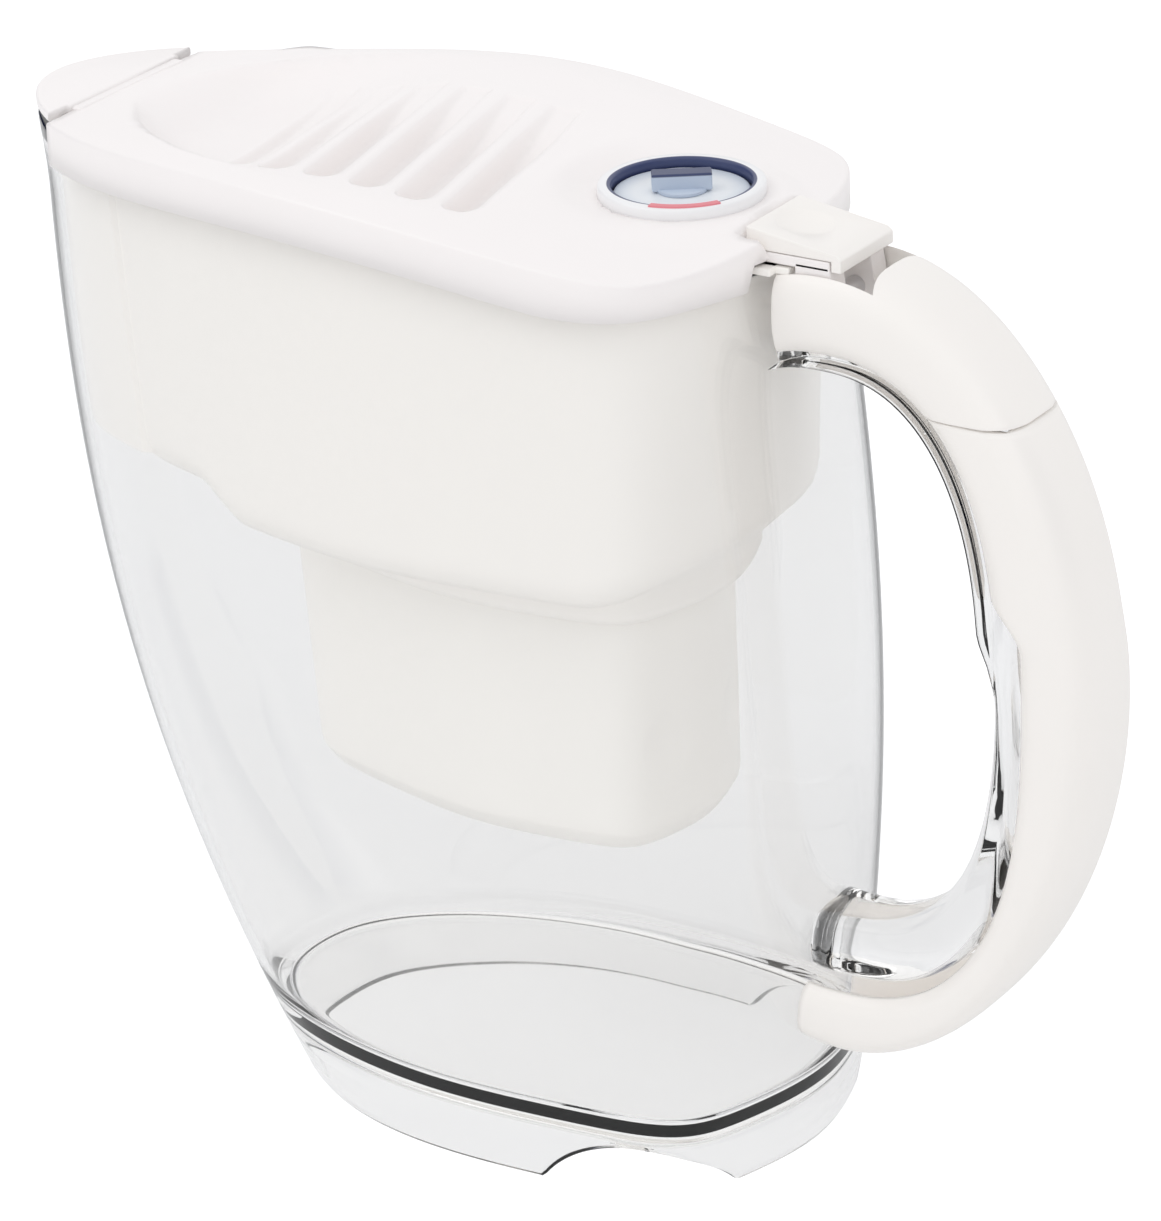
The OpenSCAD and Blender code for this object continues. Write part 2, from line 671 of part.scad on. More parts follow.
// Pale month disc with its axle.
module dial_disc() {
    color([0.80, 0.87, 0.94])
    translate([dial_x, 0, dial_floor])
        union() {
            translate([0, 0, 0.4])
                cylinder(r = disc_r, h = 1.8);
            translate([0, 0, -6])
                cylinder(r = axle_r, h = 7);
        }
}

module dial_pointer() {
    color([0.12, 0.16, 0.30])
    translate([dial_x, 0, dial_floor + 2.2])
        rotate([0, 0, 34])
            union() {
                cylinder(r = 6, h = 1);
                translate([-7, -2.4, 0])
                    cube([14, 4.8, 4.6]);
            }
}

// Clip that holds the axle under the lid.
module dial_clip() {
    color([0.9, 0.9, 0.9])
    translate([dial_x, 0, dial_floor - 5.2])
        difference() {
            cylinder(r = axle_r + 3, h = 1.6);
            translate([0, 0, -1])
                cylinder(r = axle_r, h = 4);
        }
}

function cart_ring(z, inset) = ring(grow(cart_sides, -inset), z, cart_x);
function foot_ring(z, inset) = ring(grow(cart_foot, -inset), z, cart_x);

// Housing of the cartridge, with a chamfered foot, a flange and grip hollows at the rear.
module cartridge_housing() {
    inner = cart_wall;
    color([0.98, 0.97, 0.94])
    difference() {
        union() {
            loft(concat(
                [foot_ring(cart_z, 4), foot_ring(cart_z + 5, 0.6), cart_ring(flange_z, 0)],
                [cart_ring(flange_z, -flange_out), cart_ring(flange_z + 2.4, -flange_out)],
                [cart_ring(flange_z + 2.4, 0), cart_ring(cart_top, 0)],
                [cart_ring(cart_top, inner), cart_ring(flange_z, inner)],
                [foot_ring(cart_z + 6, inner + 0.6), foot_ring(cart_z + inner, inner + 4)]));
        }
        // Shallow finger hollows on the two sides of the rear end
        for (s = [-1, 1])
            translate([cart_x, 0, cart_z + 26])
                rotate([0, 0, s * 16])
                    translate([reach(16, cart_foot) + 38 - 1.6, 0, 0])
                        sphere(r = 38);
        // Outlet slots in the bottom
        for (i = [-3:3])
            translate([cart_x - 4 + i * 8, -8, cart_z - 1])
                cube([3, 16, 4]);
    }
}

// Slotted top of the cartridge with a bar to pull it out by.
module cartridge_cap() {
    fit = grow(cart_sides, 0.8);
    color([0.96, 0.96, 0.95])
    difference() {
        union() {
            loft([ring(fit, cart_top + seat_gap, cart_x), ring(fit, cart_top + 3, cart_x),
                  ring(grow(fit, -3), cart_top + 5.4, cart_x)]);
            translate([cart_x - 26, -2, cart_top + 5])
                cube([48, 4, 8]);
        }
        for (i = [-4:4])
            for (s = [-1, 1])
                translate([cart_x - 2 + i * 6.5, s * 12 - 5, cart_top - 1])
                    cube([2.4, 10, 10]);
    }
}

// Soft ring that seals the flange on the hopper's floor.
module cartridge_seal() {
    color([0.75, 0.78, 0.82])
    translate([0, 0, flange_z - seal_t - 0.1])
        linear_extrude(seal_t)
            difference() {
                polygon(outline(grow(cart_sides, 3), cart_x));
                polygon(outline(grow(cart_sides, 0.2), cart_x));
            }
}

module screen(z) {
    color([0.85, 0.87, 0.9])
    translate([0, 0, z])
        linear_extrude(0.8)
            polygon(outline(grow(cart_foot, -cart_wall - 1.2), cart_x));
}

module upper_screen() {
    screen(cart_top - 6);
}

module lower_screen() {
    screen(cart_z + 7);
}

// Bed of resin beads and carbon between the screens.
module media_bed() {
    color([0.35, 0.33, 0.30])
    translate([0, 0, cart_z + 7.8])
        linear_extrude(cart_top - cart_z - 13.8)
            polygon(outline(grow(cart_foot, -cart_wall - 1.2), cart_x));
}

jug_body();
jug_skirt();
handle_rail();
grip_shell();
hopper();
hopper_fins();
handle_cap();
hinge_pin();
lid_shell();
lid_skirt();
thumb_tab();
flap_pin();
dial_bezel();
dial_mark();
spout_flap();
dial_disc();
dial_pointer();
dial_clip();
cartridge_housing();
cartridge_cap();
cartridge_seal();
upper_screen();
media_bed();
lower_screen();
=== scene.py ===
import bpy
import numpy as np
from mathutils import Matrix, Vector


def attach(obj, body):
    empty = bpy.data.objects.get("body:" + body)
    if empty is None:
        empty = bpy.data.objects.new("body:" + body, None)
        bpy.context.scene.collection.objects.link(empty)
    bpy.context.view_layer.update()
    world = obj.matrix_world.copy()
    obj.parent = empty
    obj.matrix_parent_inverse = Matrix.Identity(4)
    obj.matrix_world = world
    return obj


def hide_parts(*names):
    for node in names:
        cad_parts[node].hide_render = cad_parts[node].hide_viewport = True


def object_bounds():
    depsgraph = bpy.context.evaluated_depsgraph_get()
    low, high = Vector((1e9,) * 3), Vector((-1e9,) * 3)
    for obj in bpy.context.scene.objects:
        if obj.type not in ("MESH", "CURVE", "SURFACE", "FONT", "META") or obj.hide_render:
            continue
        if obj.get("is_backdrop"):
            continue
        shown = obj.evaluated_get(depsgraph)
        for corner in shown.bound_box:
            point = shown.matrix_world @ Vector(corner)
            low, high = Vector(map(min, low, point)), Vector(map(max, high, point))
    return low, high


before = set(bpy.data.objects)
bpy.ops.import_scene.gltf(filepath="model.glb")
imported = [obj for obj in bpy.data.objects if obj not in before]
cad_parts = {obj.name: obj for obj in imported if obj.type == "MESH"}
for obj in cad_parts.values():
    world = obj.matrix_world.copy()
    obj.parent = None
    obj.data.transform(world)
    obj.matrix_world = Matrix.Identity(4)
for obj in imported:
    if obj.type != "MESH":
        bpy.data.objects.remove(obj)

cad_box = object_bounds()


# Camera. A long lens stands a little above the lid, to the right of the near side, and is
# turned by two and a half degrees, as the vertical crease of the jug leans in the photograph.
target = np.array([0.020, 0.0, 0.1285])
azimuth, elevation, roll = np.radians([33.75, 23.7, -2.44])
distance = 1.3469
flat = np.cos(elevation)
back = np.array([np.sin(azimuth) * flat, -np.cos(azimuth) * flat, np.sin(elevation)])
level = np.array([np.cos(azimuth), np.sin(azimuth), 0.0])
upright = np.cross(back, level)
across = level * np.cos(roll) + upright * np.sin(roll)
upward = upright * np.cos(roll) - level * np.sin(roll)
camera_data = bpy.data.cameras.new("camera")
camera_data.sensor_fit = "HORIZONTAL"
camera_data.sensor_width = 36.0
camera_data.lens = 173.3
camera_data.shift_x = -0.0158
camera_data.clip_end = 50.0
camera = bpy.data.objects.new("camera", camera_data)
bpy.context.collection.objects.link(camera)
place = np.eye(4)
place[:3, 0], place[:3, 1], place[:3, 2] = across, upward, back
place[:3, 3] = target + back * distance
camera.matrix_world = Matrix(place.tolist())
bpy.context.scene.camera = camera
bpy.context.scene.view_settings.view_transform = "Standard"


# Table and light. A white table top runs out past the picture, under an even white room and
# two soft lamps; the camera sees the room plain white, while glass and gloss see it white in the
# middle and, as a painted reflection, dark navy toward both sides, which draws dark edges in the clear plastic.
def shader_nodes(material):
    """The material's node tree, emptied, with an output node."""
    material.use_nodes = True
    tree = material.node_tree
    tree.nodes.clear()
    return tree, tree.nodes.new("ShaderNodeOutputMaterial")


table_half, table_height = 6.0, -0.0004
table_white = 0.9
seen_glow, glass_glow = 0.3, 0.05
table = bpy.data.materials.new("table_top")
tree, out = shader_nodes(table)
matte = tree.nodes.new("ShaderNodeBsdfDiffuse")
matte.inputs["Color"].default_value = (table_white, table_white, table_white, 1)
glow = tree.nodes.new("ShaderNodeEmission")
glow.inputs["Color"].default_value = (1, 1, 1, 1)
ray = tree.nodes.new("ShaderNodeLightPath")
through_glass = tree.nodes.new("ShaderNodeMath")
through_glass.operation = "MULTIPLY"
through_glass.inputs[1].default_value = glass_glow
tree.links.new(ray.outputs["Is Transmission Ray"], through_glass.inputs[0])
lift = tree.nodes.new("ShaderNodeMath")
lift.operation = "MULTIPLY_ADD"
lift.inputs[1].default_value = seen_glow
tree.links.new(ray.outputs["Is Camera Ray"], lift.inputs[0])
tree.links.new(through_glass.outputs[0], lift.inputs[2])
tree.links.new(lift.outputs[0], glow.inputs["Strength"])
both = tree.nodes.new("ShaderNodeAddShader")
tree.links.new(matte.outputs[0], both.inputs[0])
tree.links.new(glow.outputs[0], both.inputs[1])
tree.links.new(both.outputs[0], out.inputs["Surface"])
mesh = bpy.data.meshes.new("table_top")
corners = [(-1, -1), (1, -1), (1, 1), (-1, 1)]
mesh.from_pydata([(i * table_half, j * table_half, table_height) for i, j in corners], [], [(0, 1, 2, 3)])
floor = bpy.data.objects.new("table_top", mesh)
floor.data.materials.append(table)
bpy.context.collection.objects.link(floor)
floor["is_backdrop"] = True

room_light, room_tint = 0.92, (0.97, 0.98, 1.0, 1)
# painted reflection: a dark navy tone that only glass and gloss rays see at both sides of the room
painted_reflection_dark = (0.04, 0.05, 0.13, 1)
room = bpy.data.worlds.new("room")
bpy.context.scene.world = room
room.use_nodes = True
tree = room.node_tree
tree.nodes.clear()
out = tree.nodes.new("ShaderNodeOutputWorld")
ray = tree.nodes.new("ShaderNodeLightPath")
plain = tree.nodes.new("ShaderNodeBackground")
plain.inputs["Color"].default_value = room_tint
plain.inputs["Strength"].default_value = room_light
white = tree.nodes.new("ShaderNodeBackground")
white.inputs["Color"].default_value = (1, 1, 1, 1)
white.inputs["Strength"].default_value = 1.0
direction = tree.nodes.new("ShaderNodeTexCoord")
split = tree.nodes.new("ShaderNodeSeparateXYZ")
tree.links.new(direction.outputs["Generated"], split.inputs[0])
ends = tree.nodes.new("ShaderNodeMath")
ends.operation = "ABSOLUTE"
tree.links.new(split.outputs["X"], ends.inputs[0])
shade = tree.nodes.new("ShaderNodeValToRGB")
shade.color_ramp.elements[0].position = 0.77
shade.color_ramp.elements[0].color = (1, 1, 1, 1)
shade.color_ramp.elements[1].position = 0.88
shade.color_ramp.elements[1].color = painted_reflection_dark
tree.links.new(ends.outputs[0], shade.inputs["Fac"])
through = tree.nodes.new("ShaderNodeBackground")
tree.links.new(shade.outputs["Color"], through.inputs["Color"])
through.inputs["Strength"].default_value = 1.0
bent = tree.nodes.new("ShaderNodeMath")
bent.operation = "MAXIMUM"
tree.links.new(ray.outputs["Is Glossy Ray"], bent.inputs[0])
tree.links.new(ray.outputs["Is Transmission Ray"], bent.inputs[1])
first = tree.nodes.new("ShaderNodeMixShader")
tree.links.new(bent.outputs[0], first.inputs["Fac"])
tree.links.new(plain.outputs[0], first.inputs[1])
tree.links.new(through.outputs[0], first.inputs[2])
second = tree.nodes.new("ShaderNodeMixShader")
tree.links.new(ray.outputs["Is Camera Ray"], second.inputs["Fac"])
tree.links.new(first.outputs[0], second.inputs[1])
tree.links.new(white.outputs[0], second.inputs[2])
tree.links.new(second.outputs[0], out.inputs["Surface"])

lit_point = np.array([0.0, 0.0, 0.12])
for name, where, power, size in [
    ("key_lamp", (-1.3, -1.5, 2.2), 9.0, 1.4),
    ("fill_lamp", (2.0, -1.2, 1.3), 3.0, 1.6),
]:
    lamp = bpy.data.lights.new(name, "AREA")
    lamp.energy = power
    lamp.size = size
    lamp_object = bpy.data.objects.new(name, lamp)
    bpy.context.collection.objects.link(lamp_object)
    away = np.array(where) - lit_point
    away = away / np.linalg.norm(away)
    side = np.cross([0, 0, 1.0], away)
    side = side / np.linalg.norm(side)
    place = np.eye(4)
    place[:3, 0], place[:3, 1], place[:3, 2], place[:3, 3] = side, np.cross(away, side), away, where
    lamp_object.matrix_world = Matrix(place.tolist())


# Finish of moulded plastic. Every white, grey or dark piece is injection moulded, with a fine
# spark-eroded grain, faint flow clouds in its colour and a slightly duller patch here and there.
grain = bpy.data.node_groups.new("moulded_grain", "ShaderNodeTree")
for label, kind in [
    ("Colour", "NodeSocketColor"), ("Cloud", "NodeSocketFloat"), ("Dullness", "NodeSocketFloat"),
]:
    grain.interface.new_socket(label, in_out="INPUT", socket_type=kind)
for label, kind in [
    ("Colour", "NodeSocketColor"), ("Roughness", "NodeSocketFloat"), ("Height", "NodeSocketFloat"),
]:
    grain.interface.new_socket(label, in_out="OUTPUT", socket_type=kind)
entry = grain.nodes.new("NodeGroupInput")
leave = grain.nodes.new("NodeGroupOutput")
where = grain.nodes.new("ShaderNodeTexCoord")
clouds = grain.nodes.new("ShaderNodeTexNoise")
clouds.inputs["Scale"].default_value = 22.0
clouds.inputs["Detail"].default_value = 3.0
grain.links.new(where.outputs["Object"], clouds.inputs["Vector"])
sparks = grain.nodes.new("ShaderNodeTexNoise")
sparks.inputs["Scale"].default_value = 2600.0
sparks.inputs["Detail"].default_value = 2.0
grain.links.new(where.outputs["Object"], sparks.inputs["Vector"])
spread = grain.nodes.new("ShaderNodeMapRange")
spread.inputs["To Min"].default_value = 1.0
grain.links.new(clouds.outputs["Fac"], spread.inputs["Value"])
less = grain.nodes.new("ShaderNodeMath")
less.operation = "SUBTRACT"
less.inputs[0].default_value = 1.0
grain.links.new(entry.outputs["Cloud"], less.inputs[1])
grain.links.new(less.outputs[0], spread.inputs["To Max"])
tone = grain.nodes.new("ShaderNodeVectorMath")
tone.operation = "SCALE"
grain.links.new(entry.outputs["Colour"], tone.inputs[0])
grain.links.new(spread.outputs["Result"], tone.inputs["Scale"])
grain.links.new(tone.outputs[0], leave.inputs["Colour"])
dull = grain.nodes.new("ShaderNodeMath")
dull.operation = "MULTIPLY_ADD"
dull.inputs[1].default_value = 0.12
grain.links.new(clouds.outputs["Fac"], dull.inputs[0])
grain.links.new(entry.outputs["Dullness"], dull.inputs[2])
grain.links.new(dull.outputs[0], leave.inputs["Roughness"])
grain.links.new(sparks.outputs["Fac"], leave.inputs["Height"])


def plastic(name, colour, dullness, cloud=0.03, bump=0.00002, soft=0.0):
    """A moulded plastic: its colour and roughness pass through the grain group."""
    material = bpy.data.materials.new(name)
    tree, out = shader_nodes(material)
    shader = tree.nodes.new("ShaderNodeBsdfPrincipled")
    shader.inputs["IOR"].default_value = 1.49
    shader.inputs["Subsurface Weight"].default_value = soft
    shader.inputs["Subsurface Radius"].default_value = (0.004, 0.003, 0.0025)
    shader.inputs["Subsurface Scale"].default_value = 1.0
    group = tree.nodes.new("ShaderNodeGroup")
    group.node_tree = grain
    group.inputs["Colour"].default_value = (*colour, 1)
    group.inputs["Cloud"].default_value = cloud
    group.inputs["Dullness"].default_value = dullness
    rise = tree.nodes.new("ShaderNodeBump")
    rise.inputs["Strength"].default_value = 0.25
    rise.inputs["Distance"].default_value = bump
    tree.links.new(group.outputs["Colour"], shader.inputs["Base Color"])
    tree.links.new(group.outputs["Roughness"], shader.inputs["Roughness"])
    tree.links.new(group.outputs["Height"], rise.inputs["Height"])
    tree.links.new(rise.outputs["Normal"], shader.inputs["Normal"])
    tree.links.new(shader.outputs[0], out.inputs["Surface"])
    return material


# Jug. One clear, faintly blue moulding with a raised floor on a skirt that has two arches,
# walls that swell toward the handle and sweep forward to a pointed, turned-out lip.
SIDES = [(180, 0), (130, 1), (-130, 1), (104, 2), (-104, 2), (84, 3), (-84, 3), (20, 4), (-20, 4)]
rim_sides = [141.0, 99.7, 64.0, 59.0, 79.0]
base_sides = [66.0, 57.7, 52.5, 53.0, 78.0]
turn = np.radians(np.linspace(0, 360, 360, endpoint=False))


def reach(a, sides):
    """Distance from the middle to the outline in direction a: nine straight sides, each its
    own distance over the cosine of the angle to it, rounded into one another by a twelfth power."""
    total = 0.0
    for direction, kind in SIDES:
        total = total + (np.maximum(0, np.cos(a - np.radians(direction))) / sides[kind]) ** 12
    return total ** (-1 / 12)


def ramp(t):
    """Smooth step from 0 to 1."""
    t = np.clip(t, 0, 1)
    return t * t * (3 - 2 * t)


def mix(a, b, t):
    """Value between a and b at the share t."""
    return a + (b - a) * t


def lid_line(x):
    """Height of the lid's edge: falls toward the handle, with a bell-shaped rise at mid length."""
    return 232.6 + 0.04 * (79 - x) + 8.4 * np.exp(-(((x + 20) / 70) ** 2))


def jug_sides(u):
    """Distances of the jug's sides at the share u of its height: the front bows out quickly
    above the base, the flanks run straight and the rear swells by half a sine wave."""
    e = 1 - (1 - np.clip(u, 0, 1)) ** 2.6
    ends = [mix(base_sides[k], rim_sides[k] - 2.6, e if k < 2 else u) for k in range(5)]
    ends[4] = ends[4] + 9 * np.sin(np.pi * np.clip(u, 0, 1))
    return ends


def jug_top(a):
    """Height of the jug's rim in direction a, a little under the lid's edge."""
    return lid_line(reach(a, rim_sides) * np.cos(a)) - 5.4


def lip(a, u):
    """How far the pouring lip turns out: a narrow bell round the spout, near the rim only."""
    off = (np.degrees(a) % 360 - 180) / 6
    return 4.4 * np.exp(-(off ** 2)) * ramp((u - 0.93) / 0.07)


def wall_ring(z, inset):
    """Ring of the jug's wall at the heights z, inset from the outside."""
    u = z / jug_top(turn)
    r = reach(turn, [d - inset for d in jug_sides(u)]) + lip(turn, u)
    return np.stack([r * np.cos(turn), r * np.sin(turn), z + 0 * r], axis=-1)


def flat_ring(ring, share, z):
    """Ring shrunk toward the middle by a share and laid at the height z."""
    return np.stack([ring[:, 0] * share, ring[:, 1] * share, np.full(len(ring), z)], axis=-1)


def skin(name, rows, body, material, caps=True, loop=False, smooth=True):
    """Mesh object over a stack of rings given in millimetres. Each ring meets the next in
    quads; loop joins the last ring to the first, otherwise flat caps close both ends."""
    rows = np.asarray(rows, float)
    count, n = rows.shape[:2]
    j, i = np.meshgrid(np.arange(count if loop else count - 1), np.arange(n), indexing="ij")
    after, beside = (j + 1) % count, (i + 1) % n
    quads = np.stack([j * n + i, j * n + beside, after * n + beside, after * n + i], axis=-1)
    faces = quads.reshape(-1, 4).tolist()
    if caps and not loop:
        faces.append(list(range(n - 1, -1, -1)))
        faces.append(list(range((count - 1) * n, count * n)))
    mesh = bpy.data.meshes.new(name)
    mesh.from_pydata((rows.reshape(-1, 3) * 0.001).tolist(), [], faces)
    mesh.polygons.foreach_set("use_smooth", [smooth] * len(mesh.polygons))
    mesh.materials.append(material)
    mesh.update()
    made = bpy.data.objects.new(name, mesh)
    bpy.context.collection.objects.link(made)
    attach(made, body)
    return made


clear = bpy.data.materials.new("clear_jug_plastic")
tree, out = shader_nodes(clear)
shader = tree.nodes.new("ShaderNodeBsdfPrincipled")
shader.inputs["Base Color"].default_value = (0.948, 0.945, 0.94, 1)
shader.inputs["Roughness"].default_value = 0.02
shader.inputs["IOR"].default_value = 1.5
shader.inputs["Transmission Weight"].default_value = 1.0
where = tree.nodes.new("ShaderNodeTexCoord")
flow = tree.nodes.new("ShaderNodeTexNoise")
flow.inputs["Scale"].default_value = 14.0
flow.inputs["Detail"].default_value = 1.0
tree.links.new(where.outputs["Object"], flow.inputs["Vector"])
rise = tree.nodes.new("ShaderNodeBump")
rise.inputs["Strength"].default_value = 0.05
rise.inputs["Distance"].default_value = 0.001
tree.links.new(flow.outputs["Fac"], rise.inputs["Height"])
tree.links.new(rise.outputs["Normal"], shader.inputs["Normal"])
passing = tree.nodes.new("ShaderNodeBsdfTransparent")
passing.inputs["Color"].default_value = (1, 1, 1, 1)
ray = tree.nodes.new("ShaderNodeLightPath")
lit = tree.nodes.new("ShaderNodeMath")
lit.operation = "MAXIMUM"
tree.links.new(ray.outputs["Is Shadow Ray"], lit.inputs[0])
tree.links.new(ray.outputs["Is Diffuse Ray"], lit.inputs[1])
through_wall = tree.nodes.new("ShaderNodeMixShader")
tree.links.new(lit.outputs[0], through_wall.inputs["Fac"])
tree.links.new(shader.outputs[0], through_wall.inputs[1])
tree.links.new(passing.outputs[0], through_wall.inputs[2])
tree.links.new(through_wall.outputs[0], out.inputs["Surface"])

foot = reach(turn, base_sides)
foot_x, foot_y = foot * np.cos(turn), foot * np.sin(turn)
slant = np.radians(29)
along_arch = (foot_x - 51.5) * np.cos(slant) - (np.abs(foot_y) - 39.5) * np.sin(slant)
arch_r = (47 ** 2 / 4 + 12.5 ** 2) / 25
arch = 12.5 - arch_r + np.sqrt(np.maximum(0, arch_r ** 2 - along_arch ** 2))
low = np.where(foot_x > 10, np.maximum(0, arch), 0)
top = jug_top(turn)
wall = 2.6
floor_under, floor_top = 15.0, 17.6
under_fillet = [(15.0, 5.0), (14.85, 3.4), (14.4, 2.0), (13.8, 0.9), (13.2, 0.3)]
floor_fillet = [(20.6, 0.25), (19.7, 0.9), (18.8, 2.0), (18.1, 3.6), (17.7, 5.6), (floor_top, 7.6)]
under = wall_ring(np.full_like(turn, floor_under), wall)
rows = [flat_ring(under, f, floor_under) for f in (0.002, 0.3, 0.6, 0.82)]
rows += [wall_ring(z + 0 * turn, wall + d) for z, d in under_fillet]
rows += [wall_ring(mix(12.8, low + 0.6, k), wall) for k in (0, 0.35, 0.7, 1)]
rows += [wall_ring(low + 0.15, wall - 0.2), wall_ring(low, wall - 0.7)]
rows += [wall_ring(low, 0.7), wall_ring(low + 0.15, 0.2)]
rows += [wall_ring(mix(low + 0.6, top - 0.9, q), 0) for q in np.linspace(0, 1, 72)]
rows += [wall_ring(top - 0.3, 0.2), wall_ring(top, 0.9)]
rows += [wall_ring(top, wall - 0.9), wall_ring(top - 0.3, wall - 0.2)]
rows += [wall_ring(mix(top - 0.9, 21.5, q), wall) for q in np.linspace(0, 1, 60)]
rows += [wall_ring(z + 0 * turn, wall + d) for z, d in floor_fillet]
rows += [flat_ring(rows[-1], f, floor_top) for f in (0.85, 0.6, 0.3, 0.002)]
jug = skin("jug_clear_body", rows, "jug", clear)
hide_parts("jug_body", "jug_skirt")


# Handle, lower part. A clear rail is moulded with the jug and curves round the finger gap, with
# a bead along its inner edge; a warm white grip shell snaps over its back and round its sides.
def arc(x, z, a, b, n, t):
    """Point at the angle t on a superellipse of power n about x, z."""
    c, s = np.cos(t), np.sin(t)
    along = x + a * np.sign(c) * np.abs(c) ** (2 / n)
    high = z + b * np.sign(s) * np.abs(s) ** (2 / n)
    return np.stack([along, high], axis=-1)


def outer_arc(t, less=0.0):
    """Back of the handle."""
    n = np.where(np.asarray(t) < 0, 1.85, 2.0)
    return arc(92, 131.999, 68 - less, 101.001 - less, n, t)


def gap_arc(t, more=0.0):
    """Edge of the finger gap, widened by more."""
    return arc(92, 138, 41 + more, 71 + more, 2.4, t)


def rail_arc(t, more=0.0):
    """Back of the clear rail: seven millimetres behind the gap, more at the foot."""
    return gap_arc(t, 7 + more + 10 * ramp(-t / (np.pi / 2)))


def grip_arc(t):
    """Inner edge of the white parts: at the gap above, at the rail's back below."""
    k = ramp((np.degrees(t) - 4) / 10)[..., None]
    return rail_arc(t, 0.2) * (1 - k) + gap_arc(t) * k


def rail_front(y, z):
    """Where the jug's rear wall stands at y and z, found by stepping along the outline."""
    x = np.full_like(z, 80.0)
    sides = jug_sides(z / 229.0)
    for step in range(5):
        r = reach(np.arctan2(y, x), sides)
        x = np.sqrt(np.maximum(1, r ** 2 - y ** 2))
    return x


def swept(weights, widths, arcs, t, width):
    """Points of a section carried along the handle: each section point is a weighted sum of
    the arcs' points at the angle t, with its own place across the handle."""
    flat = sum(w[None, :, None] * a for w, a in zip(weights, arcs))
    y = widths[0][None, :] * width + widths[1][None, :]
    return np.stack([flat[..., 0], y + 0 * t, flat[..., 1]], axis=-1)


def carried(section, t_from, t_to, keep, steps):
    """Rows of a section between the two ends where keep turns from false to true and back:
    the angle of each end is found on a fine grid for every line along the handle."""
    weights, widths, arcs, width = section
    fine = np.linspace(t_from, t_to, 700)[:, None] + np.zeros((1, len(weights[0])))
    points = swept(weights, widths, [a(fine) for a in arcs], fine, width(fine))
    good = keep(points) >= 0
    first = np.argmax(good, axis=0)
    last = len(fine) - 1 - np.argmax(good[::-1], axis=0)
    column = np.arange(fine.shape[1])
    t = mix(fine[first, column][None, :], fine[last, column][None, :], np.linspace(0, 1, steps)[:, None])
    return swept(weights, widths, [a(t) for a in arcs], t, width(t))


phi = np.linspace(0, 2 * np.pi, 36, endpoint=False)
c = np.sign(np.cos(phi)) * np.abs(np.cos(phi)) ** 0.62
s = np.sign(np.sin(phi)) * np.abs(np.sin(phi)) ** 0.62


def bead_arc(t):
    """Inner edge of the rail: at the gap below, two millimetres proud of the white parts above."""
    return gap_arc(t, -2 * ramp((np.degrees(t) + 4) / 12))


rail_section = (
    [(1 - c) / 2, (1 + c) / 2],
    [-s * 5.8 * ramp((-0.62 - c) / 0.12), -s * 10.2],
    [bead_arc, rail_arc],
    lambda t: ramp((np.degrees(t) + 4) / 12),
)
rows = carried(
    rail_section, np.radians(112), np.radians(-116),
    lambda p: p[..., 0] - rail_front(p[..., 1], p[..., 2]) - 0.05, 110,
)
rail = skin("handle_clear_rail", rows, "jug", clear)
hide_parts("handle_rail")

warm = plastic("handle_warm_white", (0.945, 0.91, 0.87), 0.30)
phi = np.radians(np.linspace(-138.9, 138.9, 41))
c = np.sign(np.cos(phi)) * np.abs(np.cos(phi)) ** 0.62
s = np.sign(np.sin(phi)) * np.abs(np.sin(phi)) ** 0.62
depth = np.array([0.12, 0.5, 0.9, 1.0])
edge = (1 - c[-1]) / 2
channel = np.concatenate([depth, np.ones(5), depth[::-1]])
channel_y = np.concatenate([np.full(4, 10.8), np.linspace(8.6, -8.6, 5), np.full(4, -10.8)])
wa = np.concatenate([(1 - c) / 2, (1 - channel) * edge])
wb = np.concatenate([(1 + c) / 2, (1 - channel) * (1 - edge)])
wc = np.concatenate([0 * c, channel])
ya = np.concatenate([s, 0 * channel])
yb = np.concatenate([0 * s, channel_y])


def shell_arc(t):
    """Inner face of the grip's back wall, 2.6 millimetres thick."""
    return outer_arc(t, 2.6)


grip_section = ([wa, wb, wc], [-ya, -yb], [grip_arc, outer_arc, shell_arc], lambda t: 14 + 0 * t)
rows = carried(
    grip_section, np.radians(60), np.radians(-112),
    lambda p: np.minimum(200.8 - p[..., 2], p[..., 0] - rail_front(p[..., 1], p[..., 2]) - 0.3), 120,
)
grip = skin("handle_grip", rows, "jug", warm)
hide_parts("grip_shell")


# Hopper. A cream white funnel hangs in the jug by its flange; its floor steps down to a well
# round the cartridge, and a tongue at the rear joins it to the upper part of the handle.
cream = plastic("hopper_cream", (0.975, 0.945, 0.90), 0.34, 0.015)
cart_sides = [60, 49.2, 29.3, 31.4, 54.6]


def hopper_sides(u):
    """Sides of the hopper at the share u of the jug's height: inside the jug's wall, cut short
    at the front for the pouring channel and tapered at the rear so that it lifts out."""
    d = [k - 3.4 for k in jug_sides(u)]
    return [np.minimum(d[0], 104), d[1], d[2], d[3], 79 - 6.0 - 5 * (1 - u)]


def hopper_low(x):
    """Height of the hopper's floor, rising toward the handle and toward the spout."""
    return 151 + 14 * ramp((x - 45) / 35) + 8 * ramp((-52 - x) / 18)


def hopper_ring(v, inset):
    """Ring of the hopper's wall at the share v from its floor to its flange."""
    d = [k - inset for k in hopper_sides(mix(151 / 232.6, 1, v))]
    r = reach(turn, d)
    high = lid_line(reach(turn, rim_sides) * np.cos(turn)) - 3
    x = r * np.cos(turn)
    return np.stack([x, r * np.sin(turn), mix(hopper_low(x) + 6, high, v)], axis=-1)


def tray_ring(inset, rear_inset, rise):
    """Ring of the sloping floor."""
    d = hopper_sides(151 / 232.6)
    r = reach(turn, [d[0] - inset, d[1] - inset, d[2] - inset, d[3] - inset, d[4] - rear_inset])
    x = r * np.cos(turn)
    return np.stack([x, r * np.sin(turn), hopper_low(x) + rise], axis=-1)


